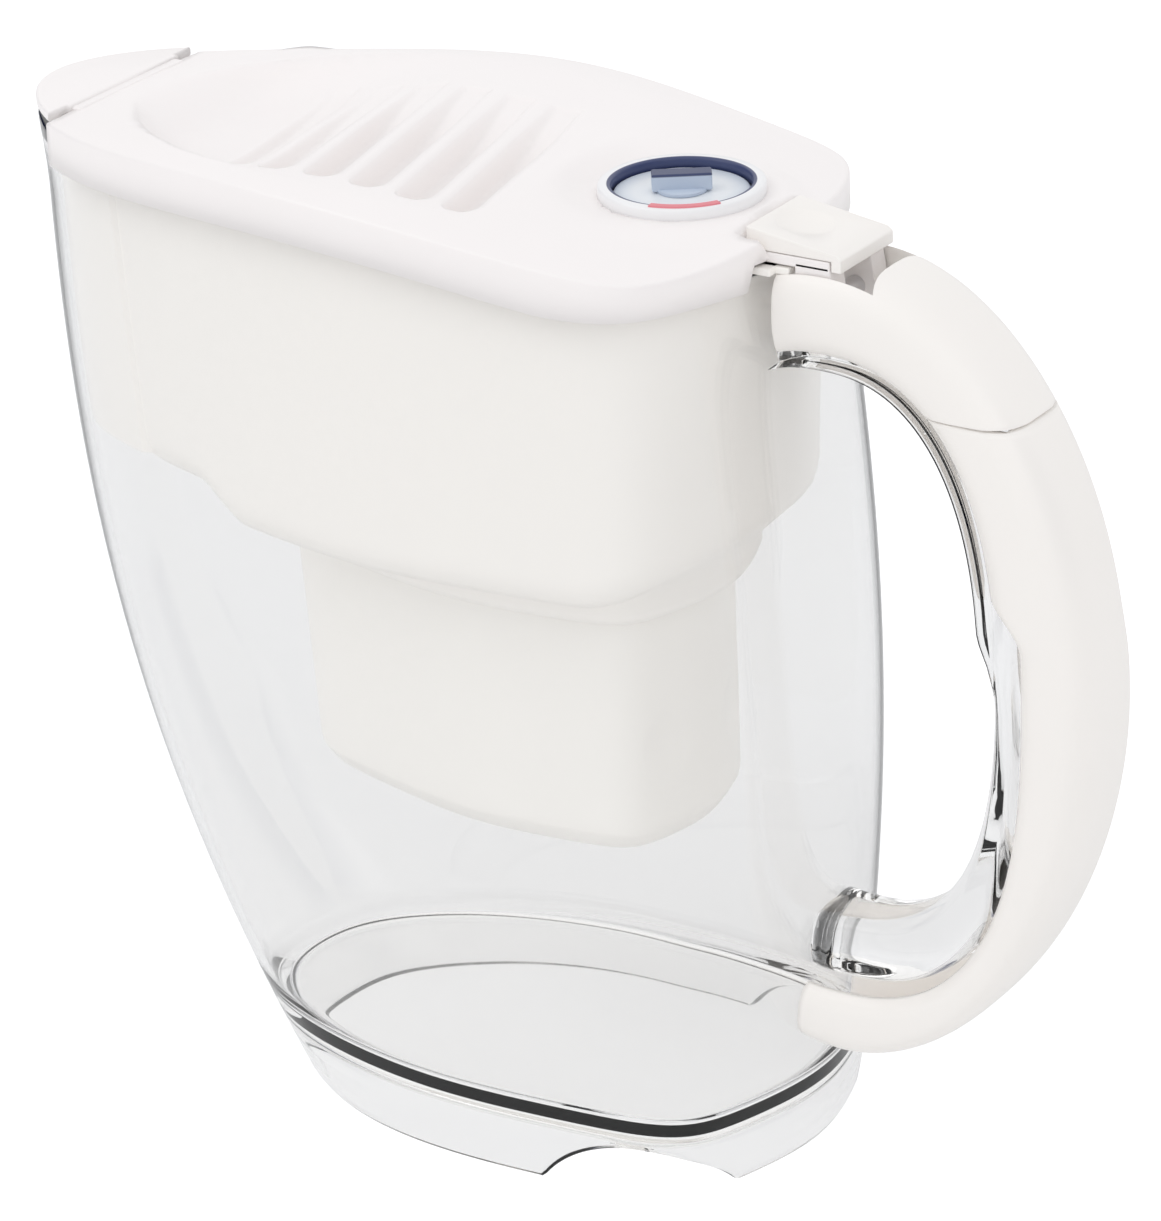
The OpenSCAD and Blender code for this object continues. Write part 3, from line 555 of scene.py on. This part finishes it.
def cart_ring(out, z):
    """Ring round the cartridge's middle, grown by out, at the height z."""
    r = reach(turn, [d + out for d in cart_sides])
    return np.stack([r * np.cos(turn) - 4, r * np.sin(turn), z + 0 * r], axis=-1)


def flange_ring(out, drop):
    """Ring of the flange that lies on the jug's rim."""
    d = [k - 2.8 + out for k in rim_sides]
    r = reach(turn, [min(d[0], 105 + out), d[1], d[2], d[3], d[4]])
    high = lid_line(reach(turn, rim_sides) * np.cos(turn)) - 3
    return np.stack([r * np.cos(turn), r * np.sin(turn), high - drop], axis=-1)


rows = [cart_ring(0.4, 141.6), cart_ring(0.9, 141), cart_ring(3.2, 141)]
rows += [cart_ring(5.2, 142.2), cart_ring(6.2, 144.5)]
rows += [cart_ring(6.2, 148.0), mix(cart_ring(6.2, 150.2), tray_ring(7, 2.5, 0), 0.25)]
rows += [mix(cart_ring(6.2, 150.2), tray_ring(7, 2.5, 0), 0.8)]
rows += [tray_ring(6.2, 2.3, 0.1), tray_ring(3.0, 1.4, 1.0)]
rows += [tray_ring(1.0, 0.6, 3.4)]
rows += [hopper_ring(v, 0) for v in np.linspace(0.01, 0.985, 40)]
rows += [flange_ring(-0.5, 2.0), flange_ring(0, 1.6), flange_ring(0, 0.4)]
rows += [flange_ring(-0.4, 0), hopper_ring(1, 1.5)]
rows += [hopper_ring(v, 2) for v in np.linspace(0.985, 0.03, 30)]
rows += [tray_ring(3.2, 2.8, 5.0), tray_ring(5.2, 3.4, 3.0), tray_ring(7.6, 4, 2.1)]
rows += [cart_ring(5.4, 152.2), cart_ring(4.4, 151), cart_ring(4.2, 146)]
rows += [cart_ring(3.9, 143.6), cart_ring(3.2, 143)]
rows += [cart_ring(0.9, 143), cart_ring(0.4, 142.4)]
hopper = skin("hopper_funnel", rows, "hopper", cream, loop=True)
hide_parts("hopper", "hopper_fins")


def block(name, low_corner, high_corner, body, material, round_by=0.4):
    """Box between two corners in millimetres, with rounded edges."""
    low_corner, high_corner = np.array(low_corner, float), np.array(high_corner, float)
    square = np.array([(0, 0), (1, 0), (1, 1), (0, 1)])
    corners = np.vstack([np.column_stack([square, np.full(4, level)]) for level in (0, 1)])
    points = (low_corner + corners * (high_corner - low_corner)) * 0.001
    faces = [(0, 3, 2, 1), (4, 5, 6, 7), (0, 1, 5, 4), (1, 2, 6, 5), (2, 3, 7, 6), (3, 0, 4, 7)]
    mesh = bpy.data.meshes.new(name)
    mesh.from_pydata(points.tolist(), [], faces)
    mesh.materials.append(material)
    made = bpy.data.objects.new(name, mesh)
    bpy.context.collection.objects.link(made)
    soften(made, round_by)
    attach(made, body)
    return made


def soften(made, round_by, sides=3):
    """Rounds the sharp edges of a piece and shades it smooth."""
    made.data.polygons.foreach_set("use_smooth", [True] * len(made.data.polygons))
    bevel = made.modifiers.new("rounded_edges", "BEVEL")
    bevel.width = round_by * 0.001
    bevel.segments = sides
    bevel.limit_method = "ANGLE"
    bevel.angle_limit = 0.6
    bevel.harden_normals = True


rear = float(lid_line(79.0)) - 4.7
bridge = block("hopper_bridge", (66, -15, rear), (80.3, 15, rear + 1.8), "hopper", cream)
tongue = block("hopper_tongue", (66, -12.4, rear), (83.8, 12.4, rear + 1.8), "hopper", cream)


# Handle, upper part. The white cap lifts out with the hopper: two cheeks carry the hinge pin,
# and the round pocket between them takes the thumb tab when the lid is open.
def channel_arc(t):
    """Bottom of the cap's channel, over the rail's back."""
    return rail_arc(t, 0.6)


cap_section = (
    [wa, wb, wc], [-ya, -yb], [gap_arc, outer_arc, channel_arc],
    lambda t: 14 + ramp((np.degrees(t) - 40) / 40),
)
rows = carried(
    cap_section, np.radians(118), np.radians(10),
    lambda p: np.minimum(p[..., 0] - 80.4, p[..., 2] - 201.2), 90,
)
cap = skin("handle_cap_top", rows, "hopper", warm)
turns = np.radians(np.linspace(0, 360, 96, endpoint=False))
drum = np.stack([90.5 + 16.5 * np.cos(turns), 0 * turns, 222 + 16.5 * np.sin(turns)], axis=-1)
pocket = skin("pocket_cutter", [drum + [0, 12.5, 0], drum + [0, -12.5, 0]], "hopper", warm)
open_top = block("top_cutter", (0, -30, 231), (102, 30, 291), "hopper", warm, 0.01)
for cutter in (pocket, open_top):
    cut = cap.modifiers.new("cut", "BOOLEAN")
    cut.operation = "DIFFERENCE"
    cut.solver = "EXACT"
    cut.object = cutter
bpy.context.view_layer.update()
cut_mesh = bpy.data.meshes.new_from_object(cap.evaluated_get(bpy.context.evaluated_depsgraph_get()))
cap.modifiers.clear()
cap.data = cut_mesh
for cutter in (pocket, open_top):
    bpy.data.objects.remove(cutter)
soften(cap, 0.5, 2)
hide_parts("handle_cap")


# Lid. One warm white moulding with a short skirt: a leaf-shaped scoop runs forward to the
# spout, six slanted flutes cross it, and a level pad behind them carries the month dial.
lid_white = plastic("lid_white", (0.95, 0.91, 0.895), 0.33)


def scoop_half(x):
    """Half width of the leaf-shaped scoop: pointed in front, nearly straight behind."""
    front = 48 * np.maximum(0, 1 - np.clip((-15 - x) / 89, 0, 1) ** 2.2) ** 0.6
    return np.where(x > -15, 48 - 3 * ramp((x + 15) / 35), front)


def scoop_share(x, y):
    """Place across the scoop, from minus one at the near edge to one at the far edge."""
    return np.clip(y / np.maximum(scoop_half(x), 1), -1, 1)


def lid_surface(x, y, s):
    """Smooth top of the lid: edge line, crown, ridge up to the tab, minus the scoop, levelled
    round the dial and sunk a little under it."""
    v = scoop_share(x, y)
    depth = ramp((x + 104) / 22) * (0.25 + 0.75 * (1 - ramp((x + 75) / 45))) * (1 - ramp((x - 5) / 18))
    dish = 9 * depth * np.where(v < 0, 1 - np.abs(v) ** 6, 1 - np.abs(v) ** 4)
    crown = 2.5 * (1 - s ** 4) * (1 - 0.6 * ramp((-x - 70) / 50))
    ridge = 4.5 * np.exp(-((y / 22) ** 2)) * ramp((x - 20) / 40) * s ** 4
    far = np.hypot(x - 48, y)
    pad = 1 - ramp((far - 21.6) / 9)
    z = mix(lid_line(x) + crown + ridge - dish, 239.6, pad)
    return z - 1.6 * (1 - ramp((far - 17.2) / 1.4))


def flute_cut(x, y):
    """Share of the flutes' depth at a place: one along the middle of a slot with a round near
    end, falling to nothing at its edges by a smooth step, and running out at the far end."""
    e = np.array([np.cos(np.radians(102)), np.sin(np.radians(102))])
    inside, share = np.full_like(x, 99.0), np.zeros_like(x)
    for k in range(6):
        dx, dy = x - (-52 + 12.9 * k), y + 38
        along = dx * e[0] + dy * e[1]
        off = np.abs(dx * e[1] - dy * e[0])
        slot = np.where(along < 0, np.hypot(along, off) - 4.2, np.maximum(off - 4.2, along - 68))
        share = np.where(slot < inside, 1 - 0.8 * ramp((along - 30) / 38), share)
        inside = np.minimum(inside, slot)
    return share * (1 - ramp((inside + 1.9) / 2.3))


fine_turn = np.radians(np.linspace(0, 180, 1441))
edge_r = reach(fine_turn, [d - 1.0 for d in rim_sides])
edge_x, edge_y = edge_r * np.cos(fine_turn), edge_r * np.sin(fine_turn)
corner = int(np.argmin(np.abs(edge_x - 64) + 100 * (fine_turn > 1.2)))
side_x, side_y = edge_x[corner:][::-1], edge_y[corner:][::-1]
back_y, back_x = edge_y[: corner + 1], edge_x[: corner + 1]

starts = -52 + 12.9 * np.arange(6) - 7.02
half_places = np.array([1.2, 2.3, 2.8, 3.3, 3.8, 4.3, 4.7])
places = np.concatenate([-half_places[::-1], [0], half_places, [6.4]])
cuts = (starts[:, None] + places).ravel()
xi = np.concatenate([np.linspace(-112.4, -66, 24), cuts[cuts > -65.2], np.linspace(14.5, 54, 22)])
xi = np.unique(np.round(np.sort(xi), 3))
yi = [np.linspace(-44, -33, 16), np.linspace(-31, 27, 22), np.linspace(27.6, 29.4, 7), np.linspace(31, 44, 6)]
yi = np.concatenate(yi)
ti = np.concatenate([np.linspace(-1, -0.79, 6), yi / 57, np.linspace(0.79, 1, 6)])
shear = ramp((xi + 108) / 40) * (1 - ramp((xi - 14) / 36))
calm = ramp((xi + 108) / 30) * (1 - ramp((xi - 16) / 34))
X = np.repeat(xi[:, None], len(ti), axis=1)
T = np.repeat(ti[None, :], len(xi), axis=0)
for step in range(8):
    w = np.interp(X, side_x, side_y)
    beyond = np.sign(T) * mix(44, w, (np.abs(T) - 44 / 57) / (1 - 44 / 57))
    level_y = np.where(np.abs(T) < 44 / 57, T * 57, beyond)
    Y = mix(T * w, level_y, calm[:, None])
    X = xi[:, None] - 0.2126 * (Y + 5) * shear[:, None]
k = np.linspace(0, 1, 20)[1:]
start_x, start_y = X[-1], Y[-1]
along_side = mix(start_x[-1], side_x[-1], k)
wide = np.interp(along_side, side_x, side_y)
half = ti * back_y[-1]
arc_x = np.interp(np.abs(half), back_y, back_x)
Xr = mix(start_x[None, :], arc_x[None, :], k[:, None])
Yr = ti[None, :] * wide[:, None] + (start_y - ti * start_y[-1])[None, :] * (1 - k[:, None])
X, Y = np.vstack([X, Xr]), np.vstack([Y, Yr])
angle = np.arctan2(Y, X)
S = np.clip(np.hypot(X, Y) / reach(angle, [d - 0.9 for d in rim_sides]), 0, 1)
smooth_z = lid_surface(X, Y, S)
cut = flute_cut(X, Y)
floor_z = np.minimum(lid_line(X) - 5, smooth_z - 2.4)
Z = mix(smooth_z, floor_z, cut)
notch = ramp((X - 71.6) / 0.6) * (1 - ramp((np.abs(Y) - 12.1) / 0.5))
Z = mix(Z, np.minimum(Z, 233.7), notch)
top_grid = np.stack([X, Y, Z], axis=-1)
shrink = 1 - 1.2 / np.hypot(X, Y).clip(30)
zone = ramp((X + 72) / 10) * (1 - ramp((X - 16) / 8)) * (1 - np.abs(scoop_share(X, Y)) ** 8)
Zu = mix(smooth_z - 2.6, np.minimum(lid_line(X) - 7.2, smooth_z - 4.4), zone)
Zu = mix(Zu, np.minimum(Zu, 231.4), notch)
under_grid = np.stack([X * shrink, Y * shrink, Zu], axis=-1)


def border(grid):
    """Edge of a grid of points, once round: first row, last column, last row, first column."""
    return np.concatenate([grid[0, :-1], grid[:-1, -1], grid[-1, :0:-1], grid[:0:-1, 0]])


def plate(name, top_grid, under_grid, edges, body, material):
    """Closed plate: a top grid, an under grid of the same shape and the edge loops between
    their borders."""
    rows, cols = top_grid.shape[:2]
    size = rows * cols
    index = np.arange(size).reshape(rows, cols)
    quads = np.stack([index[:-1, :-1], index[1:, :-1], index[1:, 1:], index[:-1, 1:]], axis=-1).reshape(-1, 4)
    loops = [border(index)]
    points = [top_grid.reshape(-1, 3), under_grid.reshape(-1, 3)]
    n = len(loops[0])
    for k, loop in enumerate(edges):
        points.append(loop)
        loops.append(2 * size + k * n + np.arange(n))
    loops.append(border(index) + size)
    loops = np.array(loops)
    beside = np.roll(loops, -1, axis=1)
    sides = np.stack([loops[:-1], beside[:-1], beside[1:], loops[1:]], axis=-1).reshape(-1, 4)
    faces = np.concatenate([quads, quads[:, ::-1] + size, sides])
    mesh = bpy.data.meshes.new(name)
    mesh.from_pydata((np.concatenate(points) * 0.001).tolist(), [], faces.tolist())
    mesh.polygons.foreach_set("use_smooth", [True] * len(mesh.polygons))
    mesh.materials.append(material)
    mesh.update()
    made = bpy.data.objects.new(name, mesh)
    bpy.context.collection.objects.link(made)
    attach(made, body)
    return made


rim = border(top_grid)
rim_under = border(under_grid)
rim_a = np.arctan2(rim[:, 1], rim[:, 0])
on_front = np.abs(rim[:, 0] + 112.4) < 0.01
on_front &= np.abs(rim[:, 1]) < np.abs(rim[on_front, 1]).max() - 0.01
line = lid_line(reach(rim_a, rim_sides) * np.cos(rim_a))
hung = line - 11.5 + 3 * ramp((reach(rim_a, rim_sides) * np.cos(rim_a) - 40) / 35)
lowest = np.where((rim[:, 0] > 60) & (np.abs(rim[:, 1]) < 16.4), 231.4, hung)
edges = []
for inset, drop, share in [
    (0.55, 0.12, 0.05), (0.2, 0.4, 0.15), (0.0, 0.9, 0.3), (0.0, None, 0.6), (0.25, -0.12, 0.7),
    (0.8, -0.45, 0.75), (1.2, -0.45, 0.8), (1.7, -0.1, 0.85), (1.8, 0.3, 0.9),
]:
    r = reach(rim_a, [d - inset for d in rim_sides])
    if drop is None:
        z = lowest + 0.4
    elif inset < 1.1 and drop > 0:
        z = rim[:, 2] - drop
    else:
        z = lowest + 0.45 + drop
    loop = np.stack([r * np.cos(rim_a), r * np.sin(rim_a), z], axis=-1)
    straight = np.stack([rim[:, 0], rim[:, 1], mix(rim[:, 2], rim_under[:, 2], share)], axis=-1)
    edges.append(np.where(on_front[:, None], straight, loop))
lid = plate("lid_top", top_grid, under_grid, edges, "lid", lid_white)
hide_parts("lid_shell", "lid_skirt")


# Hopper fins. Two thin walls carry the hopper's sides on toward the spout, close to the jug's
# wall, and leave a slot at the front through which the filtered water rises.
def fin(name, side):
    """One fin: a strip two millimetres thick along the jug's inner wall, from the hopper's
    front corner to the slot, as a stack of closed rings from its foot to its top."""
    high = np.linspace(162, 233.9, 24)[:, None]
    sides = jug_sides(np.minimum(1, high / 234))
    walk = np.radians(np.linspace(150, 180, 900))
    r = reach(walk, [np.ravel(d)[12] - 3.5 for d in sides])
    inside = (r * np.cos(walk) < -90) & (r * np.sin(walk) > 12)
    a = np.linspace(walk[inside][0], walk[inside][-1], 60)[None, :] + 0 * high
    outer = reach(a, [d - 3.5 for d in sides])
    inner = reach(a[:, ::-1], [d - 5.4 for d in sides])
    r, a = np.concatenate([outer, inner], axis=1), np.concatenate([a, a[:, ::-1]], axis=1)
    ring = np.stack([r * np.cos(a), side * r * np.sin(a), high + 0 * a], axis=-1)
    made = skin(name, ring if side > 0 else ring[:, ::-1], "hopper", cream)
    soften(made, 0.4, 2)


fin("hopper_fin_near", -1)
fin("hopper_fin_far", 1)


# Thumb tab and hinge. The tab is a white clip with a round dimple, pushed over the lid's ledge;
# under it two arms reach down between the handle's cheeks to the steel hinge pin.
def prism(name, outline, low_y, high_y, body, material, round_by=0.35):
    """A flat shape in the plane of symmetry, carried across from low_y to high_y."""
    flat = np.array(outline, float)
    rings = [np.stack([flat[:, 0], np.full(len(flat), y), flat[:, 1]], axis=-1) for y in (high_y, low_y)]
    made = skin(name, rings, body, material)
    if round_by:
        soften(made, round_by)
    return made


tab_side = [
    (72.4, 234), (94.6, 234), (94.6, 231.5), (97.2, 231.5), (97.2, 234.6), (95.8, 235.6), (72.4, 239.2),
]
tab = prism("thumb_tab_clip", tab_side, -11.9, 11.9, "lid", warm, 0)
polar, around = np.radians(np.linspace(1, 179, 60)), np.radians(np.linspace(0, 357.5, 144))
polar, around = np.meshgrid(polar, around, indexing="ij")
ball = np.stack([np.sin(polar) * np.cos(around), np.sin(polar) * np.sin(around), -np.cos(polar)], axis=-1)
thumb_radius, thumb_middle = 14.5, [82.9, 0, 250.35]
thumb = skin("thumb_cutter", ball * thumb_radius + thumb_middle, "lid", warm)
cut = tab.modifiers.new("cut", "BOOLEAN")
cut.operation = "DIFFERENCE"
cut.solver = "EXACT"
cut.object = thumb
bpy.context.view_layer.update()
cut_mesh = bpy.data.meshes.new_from_object(tab.evaluated_get(bpy.context.evaluated_depsgraph_get()))
tab.modifiers.clear()
tab.data = cut_mesh
bpy.data.objects.remove(thumb)
soften(tab, 0.35)
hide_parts("thumb_tab")
ledge = block("lid_ledge", (68, -11.9, 231.3), (94.2, 11.9, 233.8), "lid", lid_white)
web = block("lid_web", (68, -11.9, 231.3), (71.6, 11.9, 237.5), "lid", lid_white)
around = np.radians(np.linspace(180, 360, 40))
arm_side = [(90.5 + 5.4 * np.cos(a), 222 + 5.4 * np.sin(a)) for a in around] + [(94.1, 232.5), (85.1, 232.5)]
for name, y in (("hinge_arm_near", -8.9), ("hinge_arm_far", 8.9)):
    arm = prism(name, arm_side, y - 3, y + 3, "lid", lid_white)
for name, y in (("flap_ear_near", -24.2), ("flap_ear_far", 24.2)):
    ear = block(name, (-112.4, y - 1.6, 236.82), (-107.4, y + 1.6, 241.82), "lid", lid_white)


# Spout flap. A small white nose plate closes the spout and swings up on a steel rod that
# passes through its rounded knuckle and the two ears of the lid.
lean = np.radians(np.linspace(-179.9, -150, 400))
nose = reach(lean, [d - 1.2 for d in rim_sides])
flap_x, flap_y = nose * np.cos(lean), nose * np.sin(lean)
flap_end = -114.2
wide = flap_x < flap_end
half = np.stack([flap_x[wide][::8], flap_y[wide][::8]], axis=-1)
half = np.vstack([half, [flap_end, np.interp(flap_end, flap_x, flap_y)], [flap_end, -22.0], [-113.0, -22.0]])
plan = np.vstack([half, half[::-1] * [1, -1]])
hub = np.array([-122.0, 0.0])
layers = []
for inset, z in [
    (1.0, 240.82), (0.3, 240.9), (0.05, 241.2), (0, 241.6), (0, 242.4), (0.1, 242.85), (0.4, 243.12),
    (1.0, 243.218),
]:
    away = plan - hub
    layer = hub + away * (1 - inset / np.linalg.norm(away, axis=1)[:, None])
    layers.append(np.column_stack([layer, np.full(len(layer), z)]))
flap = skin("spout_flap_plate", layers, "flap", lid_white)
lengths = np.array([-21, -20.8, -20.4, 20.4, 20.8, 21.0])
radii = np.array([2.2, 2.5, 2.6, 2.6, 2.5, 2.2])
turns = np.radians(np.linspace(0, 360, 64, endpoint=False))
rod_x, rod_z = -110.2, 239.618
across_turns = np.stack([np.cos(turns), 0 * turns, -np.sin(turns)], axis=-1)
rings = [np.array([rod_x, y, rod_z]) + r * across_turns for y, r in zip(lengths, radii)]
knuckle = skin("spout_flap_knuckle", rings, "flap", lid_white)
tongue = block("spout_flap_tongue", (-117, -21, 238.618), (-110.4, 21, 242.6), "flap", lid_white, 0.6)
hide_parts("spout_flap")


# Month dial. A pale ring is pressed in the lid's pad and carries a red mark; its inner edge is painted
# navy, painted shade for the dark refracting edge of the clear dial. Inside it a pale blue disc, painted
# darker toward its rim as shade of its edge, turns on its axle, with a raised navy bar as its pointer.
def shaded(name, low_colour, high_colour, axis, start, stop, dullness=0.3):
    """A moulded plastic whose colour changes with the height or with the distance from the
    dial's middle, between start and stop in millimetres."""
    material = plastic(name, low_colour, dullness)
    tree = material.node_tree
    group = next(n for n in tree.nodes if n.type == "GROUP")
    where = tree.nodes.new("ShaderNodeTexCoord")
    shift = tree.nodes.new("ShaderNodeVectorMath")
    shift.operation = "SUBTRACT"
    shift.inputs[1].default_value = (0.048, 0, 0)
    tree.links.new(where.outputs["Object"], shift.inputs[0])
    pick = tree.nodes.new("ShaderNodeSeparateXYZ")
    if axis == "height":
        tree.links.new(shift.outputs[0], pick.inputs[0])
        value = pick.outputs["Z"]
    else:
        flat = tree.nodes.new("ShaderNodeVectorMath")
        flat.operation = "MULTIPLY"
        flat.inputs[1].default_value = (1, 1, 0)
        tree.links.new(shift.outputs[0], flat.inputs[0])
        length = tree.nodes.new("ShaderNodeVectorMath")
        length.operation = "LENGTH"
        tree.links.new(flat.outputs[0], length.inputs[0])
        value = length.outputs["Value"]
    share = tree.nodes.new("ShaderNodeMapRange")
    share.inputs["From Min"].default_value = start * 0.001
    share.inputs["From Max"].default_value = stop * 0.001
    tree.links.new(value, share.inputs["Value"])
    blend = tree.nodes.new("ShaderNodeMix")
    blend.data_type = "RGBA"
    blend.inputs["A"].default_value = (*low_colour, 1)
    blend.inputs["B"].default_value = (*high_colour, 1)
    tree.links.new(share.outputs["Result"], blend.inputs["Factor"])
    tree.links.new(blend.outputs["Result"], group.inputs["Colour"])
    return material


def lathe(name, profile, x, body, material, closed=True):
    """A profile of radius and height turned round an upright axis at x on the symmetry plane."""
    around = np.radians(np.linspace(0, 360, 192, endpoint=False))
    circle = np.stack([np.cos(around), np.sin(around), 0 * around], axis=-1)
    rings = [np.array([x, 0, z]) + r * circle for r, z in profile]
    return skin(name, rings, body, material, loop=closed)


dial_x = 48
# painted shade: the ring is navy inside 17.3 mm, standing in for the dark refracting edge; the pale tone
# outside is its own colour
ring_painted_edge_shade = shaded("dial_ring_painted_edge_shade", (0.045, 0.06, 0.15), (0.90, 0.895, 0.90), "radius", 17.3, 17.5)
bezel = lathe(
    "dial_bezel_ring",
    [
        (16.4, 238.05), (19.6, 238.05), (19.6, 241.7), (19.45, 242.15), (19.1, 242.4), (17.0, 242.4),
        (16.6, 242.25), (16.4, 241.9),
    ],
    dial_x, "lid", ring_painted_edge_shade,
)
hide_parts("dial_bezel")
# the pale blue is the disc's own colour; the darker, bluer tone from 11 to 15.5 mm out is painted shade of its
# edge
disc_blue_with_painted_rim_shade = shaded("dial_disc_pale_blue_painted_rim_shade", (0.84, 0.865, 0.89), (0.70, 0.76, 0.84), "radius", 11.0, 15.5)
disc = lathe(
    "dial_disc_plate",
    [
        (0.02, 238.45), (15.6, 238.45), (15.95, 238.7), (16.0, 239.2), (16.0, 239.8), (15.8, 240.1),
        (15.4, 240.2), (0.02, 240.2),
    ],
    dial_x, "dial", disc_blue_with_painted_rim_shade, closed=False,
)
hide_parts("dial_disc")
axle = lathe(
    "dial_axle", [(0.02, 232.05), (2.1, 232.05), (2.4, 232.4), (2.4, 238.9), (0.02, 238.9)],
    dial_x, "dial", disc_blue_with_painted_rim_shade, closed=False,
)
pointer_colour = shaded("dial_pointer_navy", (0.55, 0.63, 0.75), (0.035, 0.05, 0.13), "height", 244.1, 244.4)
hubcap = lathe(
    "dial_pointer_hub",
    [(0.02, 240.22), (5.8, 240.22), (6.0, 240.4), (6.0, 241.0), (5.8, 241.2), (0.02, 241.2)],
    dial_x, "dial", pointer_colour, closed=False,
)
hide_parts("dial_pointer")
cos, sin = np.cos(np.radians(34)), np.sin(np.radians(34))
corners = np.array([(-7, -2.4), (7, -2.4), (7, 2.4), (-7, 2.4)])
bar_x = dial_x + corners[:, 0] * cos - corners[:, 1] * sin
bar_y = corners[:, 0] * sin + corners[:, 1] * cos
rings = [np.column_stack([bar_x, bar_y, np.full(4, z)]) for z in (240.6, 244.8)]
bar = skin("dial_pointer_bar", rings, "dial", pointer_colour)
soften(bar, 0.5)
for node, colour, dullness in [
    ("dial_mark", (0.80, 0.24, 0.28), 0.4), ("dial_clip", (0.93, 0.92, 0.90), 0.4),
    ("cartridge_seal", (0.66, 0.69, 0.73), 0.5), ("upper_screen", (0.80, 0.82, 0.84), 0.5),
    ("lower_screen", (0.80, 0.82, 0.84), 0.5), ("media_bed", (0.10, 0.095, 0.09), 0.8),
]:
    finish = plastic(node + "_finish", colour, dullness)
    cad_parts[node].data.materials.clear()
    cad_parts[node].data.materials.append(finish)
steel = bpy.data.materials.new("ground_steel")
tree, out = shader_nodes(steel)
shader = tree.nodes.new("ShaderNodeBsdfPrincipled")
shader.inputs["Metallic"].default_value = 1.0
shader.inputs["Base Color"].default_value = (0.72, 0.72, 0.73, 1)
shader.inputs["Roughness"].default_value = 0.28
where = tree.nodes.new("ShaderNodeTexCoord")
lines = tree.nodes.new("ShaderNodeTexNoise")
lines.inputs["Scale"].default_value = 900.0
tree.links.new(where.outputs["Object"], lines.inputs["Vector"])
rise = tree.nodes.new("ShaderNodeBump")
rise.inputs["Strength"].default_value = 0.2
rise.inputs["Distance"].default_value = 0.00002
tree.links.new(lines.outputs["Fac"], rise.inputs["Height"])
tree.links.new(rise.outputs["Normal"], shader.inputs["Normal"])
tree.links.new(shader.outputs[0], out.inputs["Surface"])
for node in ("hinge_pin", "flap_pin"):
    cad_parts[node].data.materials.clear()
    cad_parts[node].data.materials.append(steel)


# Filter cartridge. A white oval housing hangs through the hopper's well on a flange and a soft
# seal; its foot is chamfered, its front tapers and its rear end has two shallow finger hollows.
filter_white = plastic("cartridge_white", (0.97, 0.945, 0.90), 0.36)


def foot_ring(z, inset):
    """Ring of the housing at the height z: the front narrows by five millimetres from the
    flange down to the foot, and the finger hollows are pressed in by a large ball."""
    k = np.clip((145.1 - z) / 61.1, 0, 1)
    d = [cart_sides[0] - 5 * k - inset, cart_sides[1] - 2.5 * k - inset] + [v - inset for v in cart_sides[2:]]
    r = reach(turn, d)
    ring = np.stack([r * np.cos(turn) - 4, r * np.sin(turn), z + 0 * r], axis=-1)
    if inset > 1:
        return ring
    for side in (-1, 1):
        a = np.radians(16 * side)
        far = reach(np.radians(16.0), [55, 46.7, 29.3, 31.4, 54.6]) + 36.4
        ball_at = np.array([far * np.cos(a) - 4, far * np.sin(a), 105.0])
        away = ring - ball_at
        length = np.linalg.norm(away, axis=1)[:, None]
        ring = np.where(length < 38, ball_at + away * 38 / length, ring)
    return ring


rows = [flat_ring(foot_ring(79, 4.2) + [4, 0, 0], f, 79) - [4, 0, 0] for f in (0.002, 0.35, 0.7)]
rows += [foot_ring(79, 4.6), foot_ring(79.15, 4.0), foot_ring(79.6, 3.4)]
rows += [foot_ring(83.2, 1.05), foot_ring(83.8, 0.7)]
rows += [foot_ring(84.6, 0.55)] + [foot_ring(z, 0.4) for z in np.linspace(86, 143.5, 64)]
rows += [cart_ring(0, 145.1), cart_ring(2.9, 145.1), cart_ring(3.2, 145.4)]
rows += [cart_ring(3.2, 147.2), cart_ring(2.9, 147.5)]
rows += [cart_ring(0.2, 147.5), cart_ring(0, 147.8), cart_ring(0, 165.6), cart_ring(-0.4, 166)]
rows += [cart_ring(-1.8, 166), cart_ring(-2.2, 165.6), cart_ring(-2.2, 145)]
rows += [foot_ring(90, 2.9), foot_ring(82, 6)]
rows += [flat_ring(foot_ring(82, 6.5) + [4, 0, 0], f, 81.4) - [4, 0, 0] for f in (0.8, 0.4, 0.002)]
housing = skin("cartridge_housing_shell", rows, "cartridge", filter_white)
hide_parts("cartridge_housing")
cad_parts["cartridge_cap"].data.materials.clear()
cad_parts["cartridge_cap"].data.materials.append(filter_white)

# Sizes. The box of the CAD model and the box of the visual model, in metres.
bpy.context.view_layer.update()
size = {"cad": [list(map(float, v)) for v in cad_box], "visual": [list(map(float, v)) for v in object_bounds()]}
